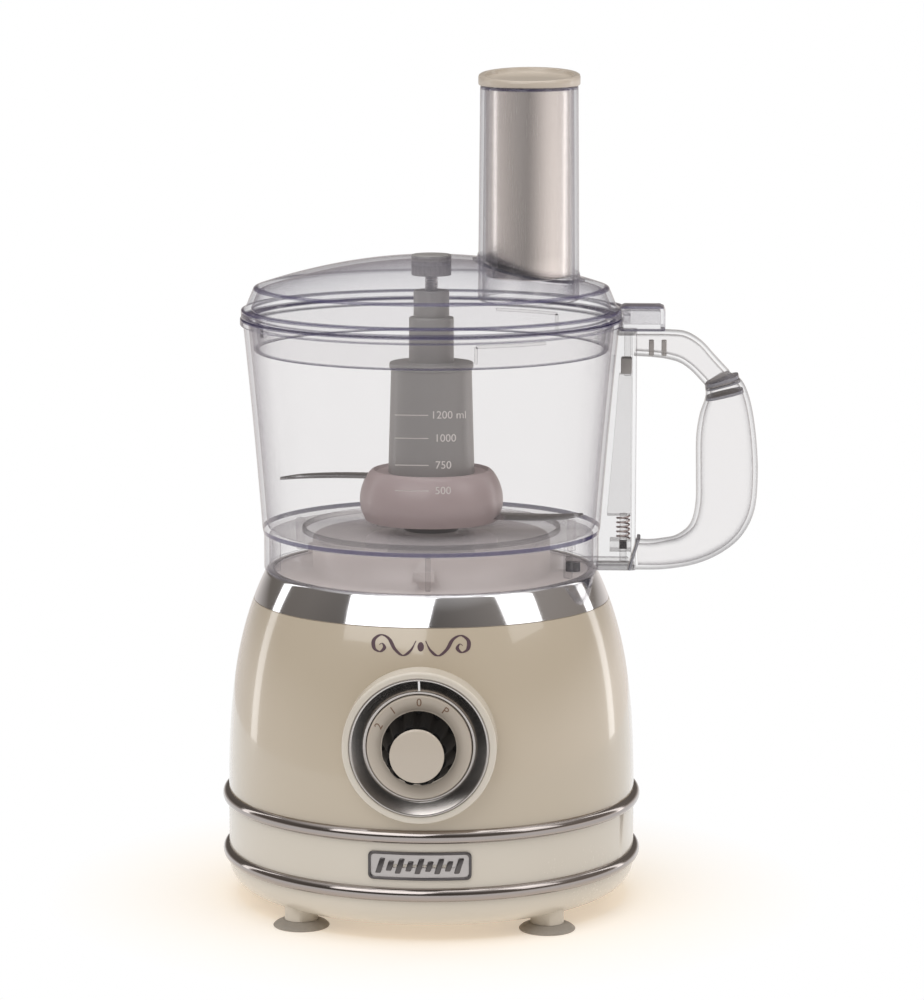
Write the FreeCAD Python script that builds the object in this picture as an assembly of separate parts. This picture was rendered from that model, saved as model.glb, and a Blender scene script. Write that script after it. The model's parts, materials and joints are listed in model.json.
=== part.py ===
"""Counter-top food processor: motor base, clear bowl with handle, lid with feed tube, pusher and blade.

Millimetres, +Z up. The origin is on the drive axis at the level the feet stand on. The dial faces -Y
and the bowl's handle points to +X. Each section makes one sub-assembly and exports its pieces.
"""
import FreeCAD
import Part

import math
import os

V = FreeCAD.Vector
UP = V(0, 0, 1)
FRONT = V(0, -1, 0)
SIDE = V(1, 0, 0)
ORIGIN = V(0, 0, 0)

# ---------------------------------------------------------------- driving sizes
# Clearances
SLIP = 0.3                # between pieces that lift off or turn past each other
SEAT = 0.05               # between pieces that are fastened together
RUNNING = 0.04            # radial, between a shaft and its bearing

# Motor base
BODY_RADIUS = 98.0        # straight band at the foot of the bell
NECK_RADIUS = 79.0        # top of the bell, under the bowl
BELL_FOOT_Z = 55.0        # where the bell starts to curve in
BELL_HEIGHT = 107.0
COLLAR_HEIGHT = 14.4      # plated part at the top of the bell
HOUSING_WALL = 2.6
COLLAR_WALL = 1.5
FLOOR_Z = 7.6             # underside of the lower housing
FLOOR_WALL = 2.6
CORNER_RADIUS = 13.0
TRIM_HEIGHT = 6.4
TRIM_DEPTH = 2.9
LOW_TRIM_Z = 24.8
SPLIT_Z = 52.2            # joint between the housings, behind the upper trim

# Feet
FOOT_X = 58.0
FOOT_Y = 62.0
FOOT_STEM_RADIUS = 8.0
FOOT_PAD_RADIUS = 13.4
FOOT_PAD_HEIGHT = 3.6
FOOT_PIN_RADIUS = 3.0

# Deck that the bowl stands on
DECK_WALL = 2.5
PLATFORM_RADIUS = 57.0
PLATFORM_HEIGHT = 17.5
HUB_RADIUS = 11.0         # tube round the drive shaft, inside the bowl's chimney
HUB_HEIGHT = 34.0         # above the bell's top
HUB_WALL = 2.4
LUG_ANGLES = (-90.0, 50.0, 160.0)
LUG_SIZE = (10.0, 6.0, 4.5)     # along the rim, out from it, and tall

# Dial
DIAL_DROP = 66.9          # from the bell's top to the dial's centre
BEZEL_RADIUS = 35.6
BEZEL_RIM = 3.2
BEZEL_STAND = 7.0         # how far the rim stands out from the bell at the dial's centre
DISH_INNER_RADIUS = 24.6
SKIRT_RADIUS = 24.2
KNOB_BASE_RADIUS = 17.2
KNOB_TOP_RADIUS = 13.7
KNOB_LENGTH = 19.0
KNOB_CAP_RADIUS = 12.5
KNOB_SCALLOPS = 12
SELECTOR_RADIUS = 3.0

# Badge plate
BADGE_WIDTH = 48.0
BADGE_HEIGHT = 13.2
BADGE_THICKNESS = 1.2

# Bowl
BOWL_FLOOR_RISE = 19.0    # bowl floor above the bell's top
BOWL_DEPTH = 101.5
BOWL_FLOOR_RADIUS = 81.0
BOWL_RIM_RADIUS = 90.0
BOWL_WALL = 2.4
RIM_FLANGE = 1.2
CHIMNEY_RADIUS = 15.5
CHIMNEY_WALL = 2.2
CHIMNEY_HEIGHT = 55.0
SKIRT_RIB = (2.4, 3.0)    # width and depth of the stop ribs inside the bowl's skirt
SKIRT_RIB_ANGLES = (-88.0, 30.0, 150.0, -30.0, 200.0)

# Handle
HANDLE_GAP_INNER = 98.0   # outer face of the column beside the bowl
HANDLE_GAP_OUTER = 126.4  # finger side of the grip
HANDLE_REACH = 156.0
HANDLE_TOP_DROP = 5.5     # from the bowl's rim to the top of the upper arm
ARM_THICKNESS = 12.6
ARM_WIDTH = 17.0
GRIP_WIDTH = 25.0
HANDLE_WALL = 2.2
COLUMN_WIDTH = 17.0
COLUMN_WALL = 2.0

# Interlock
INTERLOCK_TRAVEL = 3.0
PIN_X = 93.6              # push pin, outside the bowl's rim
PIN_RADIUS = 1.7
ROD_HALF_WIDTH = 4.0
SPRING_RADIUS = 3.4
SPRING_WIRE = 0.45
SPRING_LENGTH = 12.0
SPRING_TURNS = 5
SEAT_HEIGHT = 5.0
FOOT_THICKNESS = 2.4
BUTTON_X = 68.0
BUTTON_RADIUS = 3.5
LID_TWIST = 20.0          # degrees between locked and free

# Lid and feed tube
LID_WALL = 2.2
LID_SKIRT_DEPTH = 15.5    # below the bowl's rim
LID_SHOULDER_RISE = 14.7  # from the flange's underside to the shoulder
LID_SHOULDER_INSET = 6.0  # from the bowl's rim in to the shoulder
LID_FLANGE_HEIGHT = 3.8
DOME_RISE = 14.5
TUBE_X = 46.3
TUBE_HALF_X = 23.2
TUBE_HALF_Y = 30.0
TUBE_DRAFT = 0.9          # how much wider the tube is at its foot
TUBE_WALL = 2.0
TUBE_HEIGHT = 95.0        # above the lid's shoulder
TUBE_DROP = 6.0           # below the lid's shoulder
TONGUE_REACH = 111.3
TONGUE_WIDTH = 22.0
TONGUE_HEIGHT = 11.4

# Pusher
PUSHER_GAP = 0.7
PUSHER_WALL = 1.6
PUSHER_LENGTH = 90.0
CAP_BAND = 3.2
CAP_OVERHANG = 0.9
CAP_TILT = 4.0            # how much higher the cap is at the back
CAP_DISH = 2.2

# Blade
SPINDLE_FOOT_RADIUS = 20.6
SPINDLE_TOP_RADIUS = 19.3
SPINDLE_HEIGHT = 80.0     # bowl floor to the top of the wide column
NECK_LOW_RADIUS = 10.7
NECK_LOW_HEIGHT = 21.6
NECK_TOP_RADIUS = 8.5
NECK_TOP_HEIGHT = 12.9
DRUM_RADIUS = 35.0
DRUM_HEIGHT = 24.0
DRUM_GAP = 4.0            # between the bowl floor and the drum
BLADE_REACH = 74.0
BLADE_THICKNESS = 1.4
BLADE_LIFT = -1.5         # degrees; below zero, the upper blade droops towards its tip
TIP_PIN_RADIUS = 3.0
LID_BUSH_RADIUS = 9.5

# Drive train
MODULE = 1.0
PINION_TEETH = 14
GEAR_TEETH = 63
PRESSURE_ANGLE = math.radians(25.0)
BACKLASH = 0.16
GEAR_WIDTH = 9.0
SHAFT_RADIUS = 5.0        # output shaft
SHAFT_HEX = 8.4           # across the flats at its top
ROTOR_SHAFT_RADIUS = 4.0
CHASSIS_Z = 116.0
CHASSIS_THICKNESS = 3.0
CHASSIS_RADIUS = 74.0
BOSS_PITCH_RADIUS = 64.0  # deck bosses that carry the chassis

# Motor
STATOR_SIDE = 56.0
STATOR_HEIGHT = 34.0
STATOR_Z = 72.0
ARMATURE_RADIUS = 19.0
AIR_GAP = 0.6
COMMUTATOR_RADIUS = 9.0
FAN_RADIUS = 25.0
BEARING_608 = (22.0, 7.0)     # outside diameter and width, 8 mm bore
BEARING_6000 = (26.0, 8.0)    # outside diameter and width, 10 mm bore

# Cord inlet and screws
GLAND_BORE = 3.6
GLAND_LENGTH = 12.0
GLAND_Z = 34.0
SCREW_RADIUS = 1.5
SCREW_HEAD_RADIUS = 3.1
HOUSING_BOSS_ANGLES = (20.0, 160.0, 200.0, 340.0)

# ---------------------------------------------------------------- levels that follow
BELL_TOP_Z = BELL_FOOT_Z + BELL_HEIGHT
COLLAR_Z = BELL_TOP_Z - COLLAR_HEIGHT
DIAL_Z = BELL_TOP_Z - DIAL_DROP
BOWL_BOTTOM_Z = BELL_TOP_Z + SLIP
BOWL_FLOOR_Z = BELL_TOP_Z + BOWL_FLOOR_RISE
BOWL_RIM_Z = BOWL_FLOOR_Z + BOWL_DEPTH
CHIMNEY_TOP_Z = BOWL_FLOOR_Z + CHIMNEY_HEIGHT
DECK_Z = BELL_TOP_Z - COLLAR_WALL - SEAT          # top of the deck's flat annulus
PLATFORM_Z = DECK_Z + PLATFORM_HEIGHT
LID_Z = BOWL_RIM_Z + SLIP
SHOULDER_Z = LID_Z + LID_SHOULDER_RISE
DOME_TOP_Z = SHOULDER_Z + DOME_RISE
TUBE_TOP_Z = SHOULDER_Z + TUBE_HEIGHT
DRUM_Z = BOWL_FLOOR_Z + DRUM_GAP
DRUM_TOP_Z = DRUM_Z + DRUM_HEIGHT
UPPER_BLADE_Z = DRUM_TOP_Z - 4.0
LOWER_BLADE_Z = DRUM_Z + 2.0
SPINDLE_TOP_Z = BOWL_FLOOR_Z + SPINDLE_HEIGHT
NECK_SHOULDER_Z = SPINDLE_TOP_Z + NECK_LOW_HEIGHT
SPINDLE_END_Z = NECK_SHOULDER_Z + NECK_TOP_HEIGHT
CENTRE_DISTANCE = MODULE * (PINION_TEETH + GEAR_TEETH) / 2
MOTOR_AXIS = V(0, CENTRE_DISTANCE, 0)
CHASSIS_TOP_Z = CHASSIS_Z + CHASSIS_THICKNESS
GEAR_Z = CHASSIS_TOP_Z + 9.0
SHAFT_TOP_Z = CHIMNEY_TOP_Z + 20.0


# ---------------------------------------------------------------- helpers
def polar(radius, degrees, z=0.0):
    """A point at a radius and an angle about the drive axis."""
    a = math.radians(degrees)
    return V(radius * math.cos(a), radius * math.sin(a), z)


def cylinder(radius, z0, z1, centre=ORIGIN):
    """An upright cylinder between two levels."""
    return Part.makeCylinder(radius, z1 - z0, V(centre.x, centre.y, z0), UP)


def tube(outer, inner, z0, z1, centre=ORIGIN):
    """An upright tube between two levels."""
    return cylinder(outer, z0, z1, centre).cut(cylinder(inner, z0, z1, centre))


def cone(r0, r1, z0, z1):
    """An upright cone on the drive axis."""
    return Part.makeCone(r0, r1, z1 - z0, V(0, 0, z0), UP)


def block(x0, x1, y0, y1, z0, z1):
    """A box between two corners."""
    return Part.makeBox(x1 - x0, y1 - y0, z1 - z0, V(x0, y0, z0))


def frontal(radius, y0, y1, x=0.0, z=None):
    """A cylinder along -Y, from depth y0 to y1, both measured towards the front."""
    return Part.makeCylinder(radius, y1 - y0, V(x, -y0, DIAL_Z if z is None else z), FRONT)


def outline(stations):
    """A closed face in the XZ plane. A station is (x, z), or (x, z, via_x, via_z) for an arc to it."""
    edges, last = [], V(stations[0][0], 0, stations[0][1])
    for s in list(stations[1:]) + [stations[0][:2]]:
        point = V(s[0], 0, s[1])
        if len(s) == 4:
            via = V(s[2], 0, s[3])
            bow = via.distanceToLine(last, point - last)
            curve = Part.BSplineCurve()
            if bow > 0.02 * (point - last).Length:
                curve = Part.Arc(last, via, point)
            else:
                curve.interpolate([last, via, point])
            edges.append(curve.toShape())
        elif (point - last).Length > 1e-6:
            edges.append(Part.LineSegment(last, point).toShape())
        last = point
    return Part.Face(Part.Wire(edges))


def turn(stations):
    """A solid turned about the drive axis from an XZ outline."""
    return outline(stations).revolve(ORIGIN, UP, 360)


def slab_of(stations, half_width):
    """A solid made by extruding an XZ outline to both sides of Y = 0."""
    face = outline(stations)
    face.translate(V(0, -half_width, 0))
    return face.extrude(V(0, 2 * half_width, 0))


def bell_poles(inset):
    """Control points of the bell's profile, moved in by an inset."""
    drop = BODY_RADIUS - NECK_RADIUS
    return [V(BODY_RADIUS - inset, 0, BELL_FOOT_Z),
            V(BODY_RADIUS - inset, 0, BELL_FOOT_Z + 0.42 * BELL_HEIGHT),
            V(BODY_RADIUS - 0.237 * drop - inset, 0, BELL_FOOT_Z + 0.738 * BELL_HEIGHT),
            V(NECK_RADIUS - inset, 0, BELL_TOP_Z)]


def bell(inset, z0, z1):
    """The bell as a full solid between two levels; below its foot it goes on as a cylinder."""
    curve = Part.BezierCurve()
    curve.setPoles(bell_poles(inset))
    radius = BODY_RADIUS - inset
    corners = [V(NECK_RADIUS - inset, 0, BELL_TOP_Z), V(0, 0, BELL_TOP_Z), V(0, 0, 0), V(radius, 0, 0),
               V(radius, 0, BELL_FOOT_Z)]
    edges = [curve.toShape()]
    edges += [Part.LineSegment(a, b).toShape() for a, b in zip(corners[:-1], corners[1:])]
    solid = Part.Face(Part.Wire(Part.__sortEdges__(edges))).revolve(ORIGIN, UP, 360)
    return solid.common(cylinder(2 * BODY_RADIUS, z0, z1))


def bell_radius(z):
    """The bell's outside radius at a level."""
    if z <= BELL_FOOT_Z:
        return BODY_RADIUS
    poles = bell_poles(0)
    low, high = 0.0, 1.0
    for _ in range(40):
        t = (low + high) / 2
        weights = ((1 - t) ** 3, 3 * t * (1 - t) ** 2, 3 * t * t * (1 - t), t ** 3)
        level = sum(w * p.z for w, p in zip(weights, poles))
        low, high = (t, high) if level < z else (low, t)
    return sum(w * p.x for w, p in zip(weights, poles))


def spun(shape, degrees, centre=ORIGIN):
    """A copy turned about an upright axis."""
    copy = shape.copy()
    copy.rotate(centre, UP, degrees)
    return copy


def joined(shapes):
    """Several solids fused into one."""
    return shapes[0].multiFuse(shapes[1:]).removeSplitter() if len(shapes) > 1 else shapes[0]


def screw(centre, z_head, length, upward=True):
    """A pan-head screw: head below its shank, or above it."""
    head_height = 2.4
    if upward:
        head = cylinder(SCREW_HEAD_RADIUS, z_head, z_head + head_height, centre)
        shank = cylinder(SCREW_RADIUS, z_head + head_height, z_head + head_height + length, centre)
    else:
        head = cylinder(SCREW_HEAD_RADIUS, z_head - head_height, z_head, centre)
        shank = cylinder(SCREW_RADIUS, z_head - head_height - length, z_head - head_height, centre)
    return head.fuse(shank)


def save(node, *solids):
    """Writes one node; several solids stay separate in it."""
    shape = solids[0] if len(solids) == 1 else Part.makeCompound(list(solids))
    if not shape.isValid() or shape.Volume <= 0:
        raise ValueError(node + " is not a valid solid")
    shape.exportStep("parts/" + node + ".step")
    print(node, len(shape.Solids), round(shape.Volume / 1000, 2))


os.makedirs("parts", exist_ok=True)


# ---------------------------------------------------------------- motor base: shells
def lower_housing():
    """Ivory pan: band, rounded bottom edge, vented floor, foot stems and screw bosses."""
    r, wall, corner = BODY_RADIUS, FLOOR_WALL, CORNER_RADIUS
    inner = corner - wall
    bend = math.sqrt(0.5)
    top = SPLIT_Z - SEAT
    pan = turn([(0, FLOOR_Z), (r - corner, FLOOR_Z),
                (r, FLOOR_Z + corner, r - corner + corner * bend, FLOOR_Z + corner - corner * bend),
                (r, top), (r - wall, top), (r - wall, FLOOR_Z + corner),
                (r - corner, FLOOR_Z + wall, r - corner + inner * bend, FLOOR_Z + corner - inner * bend),
                (0, FLOOR_Z + wall)])
    adds, cuts = [], []
    for sx in (-1, 1):
        for sy in (-1, 1):
            spot = V(sx * FOOT_X, sy * FOOT_Y, 0)
            adds.append(cylinder(FOOT_STEM_RADIUS, FOOT_PAD_HEIGHT, FLOOR_Z + wall + 1, spot))
            cuts.append(cylinder(FOOT_PIN_RADIUS + SEAT, 0, FLOOR_Z - 0.4, spot))
    for angle in HOUSING_BOSS_ANGLES:
        spot = polar(r - wall - 4.8, angle)
        adds.append(cylinder(5.0, FLOOR_Z + corner, SPLIT_Z - SEAT, spot))
        cuts.append(cylinder(SCREW_HEAD_RADIUS + 0.4, 0, FLOOR_Z + corner + 6, spot))
        cuts.append(cylinder(SCREW_RADIUS + 0.1, 0, SPLIT_Z, spot))
    for i in range(-4, 5):
        half = 22.0 - 1.5 * abs(i)
        cuts.append(block(-half, half, CENTRE_DISTANCE + 6.0 * i - 1.5, CENTRE_DISTANCE + 6.0 * i + 1.5,
                          0, FLOOR_Z + wall + 1))
    keep = bell(0, 0, SPLIT_Z)
    cuts.append(Part.makeCylinder(GLAND_BORE + 2.4, 3 * wall, V(0, r - 2 * wall, GLAND_Z), V(0, 1, 0)))
    return joined([pan] + [a.common(keep) for a in adds]).cut(Part.makeCompound(cuts))


def upper_housing():
    """Painted bell with the dial opening and four screw bosses inside."""
    shell = bell(0, SPLIT_Z, COLLAR_Z - SEAT).cut(bell(HOUSING_WALL, 0, BELL_TOP_Z))
    bosses = []
    for angle in HOUSING_BOSS_ANGLES:
        spot = polar(BODY_RADIUS - FLOOR_WALL - 4.8, angle)
        boss = tube(5.0, SCREW_RADIUS + 0.1, SPLIT_Z, SPLIT_Z + 22, spot)
        bosses.append(boss.common(bell(0.5, 0, BELL_TOP_Z)))
    solid = joined([shell] + bosses)
    return solid.cut(frontal(BEZEL_RADIUS - BEZEL_RIM - 4.0, 0, 2 * BODY_RADIUS))


def collar_ring():
    """Plated collar: the top of the bell, turned in over the deck's edge."""
    skirt = bell(0, COLLAR_Z, BELL_TOP_Z).cut(bell(COLLAR_WALL, 0, BELL_TOP_Z - COLLAR_WALL))
    return skirt.cut(cylinder(NECK_RADIUS - 4.0, 0, 2 * BELL_TOP_Z))


def trim_ring(z):
    """Plated bead round the body, a circular segment in section."""
    r, half = BODY_RADIUS + SEAT, TRIM_HEIGHT / 2
    arc = Part.Arc(V(r, 0, z + half), V(r + TRIM_DEPTH, 0, z), V(r, 0, z - half))
    back = Part.LineSegment(V(r, 0, z - half), V(r, 0, z + half))
    return Part.Face(Part.Wire([arc.toShape(), back.toShape()])).revolve(ORIGIN, UP, 360)


def foot_pads():
    """Suction pads, each with a pin pressed up into its stem."""
    pads = []
    for sx in (-1, 1):
        for sy in (-1, 1):
            r, h = FOOT_PAD_RADIUS, FOOT_PAD_HEIGHT - SEAT
            pad = turn([(0, 1.6), (r - 4.0, 0.7, (r - 4) / 2, 1.4), (r - 2.4, 0), (r, 0), (r, 1.0),
                        (FOOT_STEM_RADIUS - 0.6, h), (FOOT_PIN_RADIUS, h), (FOOT_PIN_RADIUS, FLOOR_Z - 0.6),
                        (0, FLOOR_Z - 0.6)])
            pad.translate(V(sx * FOOT_X, sy * FOOT_Y, 0))
            pads.append(pad)
    return pads


def badge_plate():
    """Plated plate bent round the front of the lower band, with a raised frame and plain bars."""
    z = (LOW_TRIM_Z + SPLIT_Z) / 2
    half_x, half_z, corner = BADGE_WIDTH / 2, BADGE_HEIGHT / 2, 2.4

    def layer(inner, outer, dx, dz, x0=0.0):
        body = cylinder(BODY_RADIUS + outer, z - dz, z + dz).cut(cylinder(BODY_RADIUS + inner, 0, 2 * z))
        window = block(x0 - dx, x0 + dx, -BODY_RADIUS - 9, -BODY_RADIUS / 2, z - dz, z + dz)
        return body.common(window)

    plate = layer(SEAT, SEAT + BADGE_THICKNESS * 0.6, half_x, half_z)
    frame_shape = layer(SEAT + 0.1, SEAT + BADGE_THICKNESS, half_x, half_z)
    frame_shape = frame_shape.cut(layer(0, SEAT + 2 * BADGE_THICKNESS, half_x - 1.1, half_z - 1.1))
    bars = [layer(SEAT + 0.1, SEAT + BADGE_THICKNESS, 1.5, 2.4, 4.6 * i) for i in range(-3, 4)]
    body = joined([plate, frame_shape] + bars)
    mask = block(-half_x, half_x, -BODY_RADIUS - 9, -BODY_RADIUS / 2, z - half_z, z + half_z)
    edges = [e for e in mask.Edges if abs(e.tangentAt(e.FirstParameter).y) > 0.99]
    return body.common(mask.makeFillet(corner, edges))


def cord_grommet():
    """Rubber gland in the back of the pan: the cord's inlet."""
    y = BODY_RADIUS
    centre = V(0, 0, GLAND_Z)

    def ring(radius, y0, y1):
        return Part.makeCylinder(radius, y1 - y0, centre + V(0, y0, 0), V(0, 1, 0))

    nose = Part.makeCone(GLAND_BORE + 4.0, GLAND_BORE + 2.0, GLAND_LENGTH - 2.5,
                         centre + V(0, y + 2.5, 0), V(0, 1, 0))
    body = joined([ring(GLAND_BORE + 2.35, y - 7, y + 1), ring(GLAND_BORE + 5.4, y + SEAT, y + 2.5), nose])
    body = body.cut(ring(GLAND_BORE, y - 20, y + 2 * GLAND_LENGTH))
    return body


def top_deck():
    """Deck under the bowl: annulus in the collar, platform, hub tube, lugs and chassis bosses."""
    under = DECK_Z - DECK_WALL
    annulus = bell(COLLAR_WALL + SEAT, under, DECK_Z)
    skirt = bell(HOUSING_WALL + SEAT, COLLAR_Z - 6, under + 0.5)
    skirt = skirt.cut(bell(HOUSING_WALL + SEAT + DECK_WALL, 0, under))
    platform = turn([(0, under), (PLATFORM_RADIUS, under), (PLATFORM_RADIUS, PLATFORM_Z - 2),
                     (PLATFORM_RADIUS - 2, PLATFORM_Z, PLATFORM_RADIUS - 0.6, PLATFORM_Z - 0.6), (0, PLATFORM_Z)])
    hub = cylinder(HUB_RADIUS, PLATFORM_Z - DECK_WALL, BELL_TOP_Z + HUB_HEIGHT)
    adds, cuts = [annulus, skirt, platform, hub], []
    cuts.append(cylinder(PLATFORM_RADIUS - DECK_WALL, 0, PLATFORM_Z - DECK_WALL))
    cuts.append(cylinder(HUB_RADIUS - HUB_WALL, 0, 2 * BELL_TOP_Z))
    length, out, tall = LUG_SIZE
    for angle in LUG_ANGLES:
        lug = block(PLATFORM_RADIUS - 1, PLATFORM_RADIUS + out, -length / 2, length / 2,
                    PLATFORM_Z - 8 - tall, PLATFORM_Z - 8)
        adds.append(spun(lug, angle))
    for angle in (45, 135, 225, 315):
        spot = polar(BOSS_PITCH_RADIUS, angle)
        adds.append(cylinder(4.6, CHASSIS_TOP_Z + SEAT, under + 0.5, spot))
        cuts.append(cylinder(SCREW_RADIUS + 0.1, CHASSIS_Z, CHASSIS_TOP_Z + 14, spot))
    cheek_z = under - 20
    for side in (-1, 1):
        cheek = block(BUTTON_X - 8, BUTTON_X + 8, side * 5.3 - 1, side * 5.3 + 1, cheek_z, under + 0.5)
        adds.append(cheek)
    hole = cylinder(BUTTON_RADIUS + SLIP, under - 1, DECK_Z + 1, V(BUTTON_X, 0, 0))
    shell = joined([adds[0], adds[1], adds[2], adds[3]]).cut(Part.makeCompound(cuts[:2]))
    return joined([shell] + adds[4:]).cut(Part.makeCompound(cuts[2:] + [hole]))


# ---------------------------------------------------------------- motor base: dial
BELL_AT_DIAL = bell_radius(DIAL_Z)
BEZEL_FACE = BELL_AT_DIAL + BEZEL_STAND
RECESS_FACE = BEZEL_FACE - 5.4
SKIRT_FACE = BEZEL_FACE - 2.2
KNOB_FACE = SKIRT_FACE + KNOB_LENGTH
THROAT_OUTER = BEZEL_RADIUS - BEZEL_RIM - 4.2
THROAT_INNER = THROAT_OUTER - 2.2
THROAT_DEPTH = 74.0


def turned_on_dial(stations):
    """A solid turned about the dial's axis; a station is (radius, distance to the front)."""
    solid = turn(stations)
    solid.rotate(ORIGIN, SIDE, 90)
    solid.translate(V(0, 0, DIAL_Z))
    return solid


def dial_bezel():
    """Ivory ring standing on the bell, with a throat that goes in through it."""
    r, rim = BEZEL_RADIUS, BEZEL_RADIUS - BEZEL_RIM
    ring = turned_on_dial([(THROAT_INNER, 60), (r, 60), (r, BEZEL_FACE - 2.4),
                           (r - 2.0, BEZEL_FACE, r - 0.6, BEZEL_FACE - 0.7), (rim + 0.5, BEZEL_FACE),
                           (rim, BEZEL_FACE - 0.5), (rim, RECESS_FACE), (THROAT_INNER, RECESS_FACE)])
    ring = ring.cut(bell(-SEAT, 0, BELL_TOP_Z))
    throat = turned_on_dial([(THROAT_INNER, THROAT_DEPTH), (THROAT_OUTER, THROAT_DEPTH),
                             (THROAT_OUTER, RECESS_FACE - 0.2), (THROAT_INNER, RECESS_FACE - 0.2)])
    return ring.fuse(throat).removeSplitter()


def dial_dish():
    """Plated ring that slopes in from the bezel's rim to the numbered disc."""
    back, outer, inner = RECESS_FACE + SEAT, BEZEL_RADIUS - BEZEL_RIM - SEAT, DISH_INNER_RADIUS
    return turned_on_dial([(inner, back), (outer, back), (outer, back + 4.4), (outer - 1.0, back + 4.4),
                           (inner + 1.2, back + 1.3), (inner, back + 1.3)])


def dial_skirt():
    """Cream disc that carries the switch positions; it turns with the knob."""
    back = SKIRT_FACE - 2.6
    disc = turned_on_dial([(SELECTOR_RADIUS + SEAT, back), (SKIRT_RADIUS, back),
                           (SKIRT_RADIUS, SKIRT_FACE - 0.8), (SKIRT_RADIUS - 0.8, SKIRT_FACE),
                           (SELECTOR_RADIUS + SEAT, SKIRT_FACE)])
    return disc


def knob_grip():
    """Black scalloped grip, recessed at the front for its cap."""
    back = SKIRT_FACE + SEAT
    body = turned_on_dial([(0, back), (KNOB_BASE_RADIUS, back), (KNOB_BASE_RADIUS, back + 2.2),
                           (KNOB_TOP_RADIUS, KNOB_FACE - 1.2), (KNOB_TOP_RADIUS - 0.6, KNOB_FACE - 0.6),
                           (0, KNOB_FACE - 0.6)])
    cuts = [frontal(KNOB_CAP_RADIUS + SEAT, KNOB_FACE - 2.2, KNOB_FACE + 5)]
    cuts.append(frontal(SELECTOR_RADIUS + SEAT, back - 1, back + 12))
    for i in range(KNOB_SCALLOPS):
        a = 2 * math.pi * i / KNOB_SCALLOPS
        radius = KNOB_BASE_RADIUS + 0.9
        cuts.append(frontal(2.4, back + 2.2, KNOB_FACE, radius * math.cos(a), DIAL_Z + radius * math.sin(a)))
    return body.cut(Part.makeCompound(cuts))


def knob_cap():
    """Cream cap let into the front of the grip, slightly domed."""
    back, r = KNOB_FACE - 2.2 + SEAT, KNOB_CAP_RADIUS
    return turned_on_dial([(0, back), (r, back), (r, KNOB_FACE - 0.5), (r - 0.7, KNOB_FACE),
                           (0, KNOB_FACE + 0.5, r / 2, KNOB_FACE + 0.4)])


def dial_shaft():
    """Shaft from the switch to the knob."""
    return frontal(SELECTOR_RADIUS, THROAT_DEPTH - 16, SKIRT_FACE + 11.5)


def rotary_switch():
    """Switch behind the dial: flange that closes the bezel's throat, and a square case."""
    flange = frontal(THROAT_OUTER, THROAT_DEPTH - 3 - SEAT, THROAT_DEPTH - SEAT)
    case = block(-15, 15, -THROAT_DEPTH + 2.5, -THROAT_DEPTH + 22, DIAL_Z - 15, DIAL_Z + 15)
    tabs = []
    for x in (-9, 0, 9):
        for z in (DIAL_Z - 7, DIAL_Z + 7):
            tabs.append(block(x - 1.6, x + 1.6, 21 - THROAT_DEPTH, 29 - THROAT_DEPTH, z - 0.4, z + 0.4))
    bore = frontal(SELECTOR_RADIUS + RUNNING, THROAT_DEPTH - 18, THROAT_DEPTH + 9)
    return joined([flange, case] + tabs).cut(bore)


# ---------------------------------------------------------------- motor base: drive train and motor
def gear(teeth, z0, z1, centre, phase, bore):
    """Involute spur gear with a tooth centred on the phase angle (degrees)."""
    pitch = MODULE * teeth / 2
    base = pitch * math.cos(PRESSURE_ANGLE)
    tip = pitch + MODULE
    root = pitch - 1.25 * MODULE
    half = math.pi / (2 * teeth) - BACKLASH / (4 * pitch)
    inv_pitch = math.tan(PRESSURE_ANGLE) - PRESSURE_ANGLE

    def flank_angle(radius):
        if radius <= base:
            return half + inv_pitch
        a = math.acos(base / radius)
        return half + inv_pitch - (math.tan(a) - a)

    start = max(base, root)
    radii = [start + (tip - start) * i / 4 for i in range(5)]
    points = []
    for t in range(teeth):
        mid = math.radians(phase) + 2 * math.pi * t / teeth
        side = [(root, -flank_angle(start))] if root < base else []
        side += [(r, -flank_angle(r)) for r in radii]
        side += [(r, -a) for r, a in reversed(side)]
        points += [V(r * math.cos(mid + a), r * math.sin(mid + a), 0) for r, a in side]
    wire = Part.makePolygon(points + [points[0]])
    solid = Part.Face(wire).extrude(V(0, 0, z1 - z0))
    solid.translate(V(centre.x, centre.y, z0))
    return solid.cut(cylinder(bore, z0 - 1, z1 + 1, centre))


def drive_gear():
    """Large gear on the output shaft, with a hub and six lightening holes."""
    solid = gear(GEAR_TEETH, GEAR_Z, GEAR_Z + GEAR_WIDTH, ORIGIN, 90.0, SHAFT_RADIUS + SEAT)
    hub = tube(10.0, SHAFT_RADIUS + SEAT, GEAR_Z - 2, GEAR_Z + GEAR_WIDTH + 4)
    holes = [cylinder(5.0, GEAR_Z - 5, GEAR_Z + 2 * GEAR_WIDTH, polar(19.0, 60 * i)) for i in range(6)]
    return solid.fuse(hub).cut(Part.makeCompound(holes)).removeSplitter()


def pinion():
    """Steel pinion on the end of the motor shaft."""
    return gear(PINION_TEETH, GEAR_Z - 1, GEAR_Z + GEAR_WIDTH + 1, MOTOR_AXIS, 270.0 + 180.0 / PINION_TEETH,
                ROTOR_SHAFT_RADIUS + SEAT)


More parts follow.
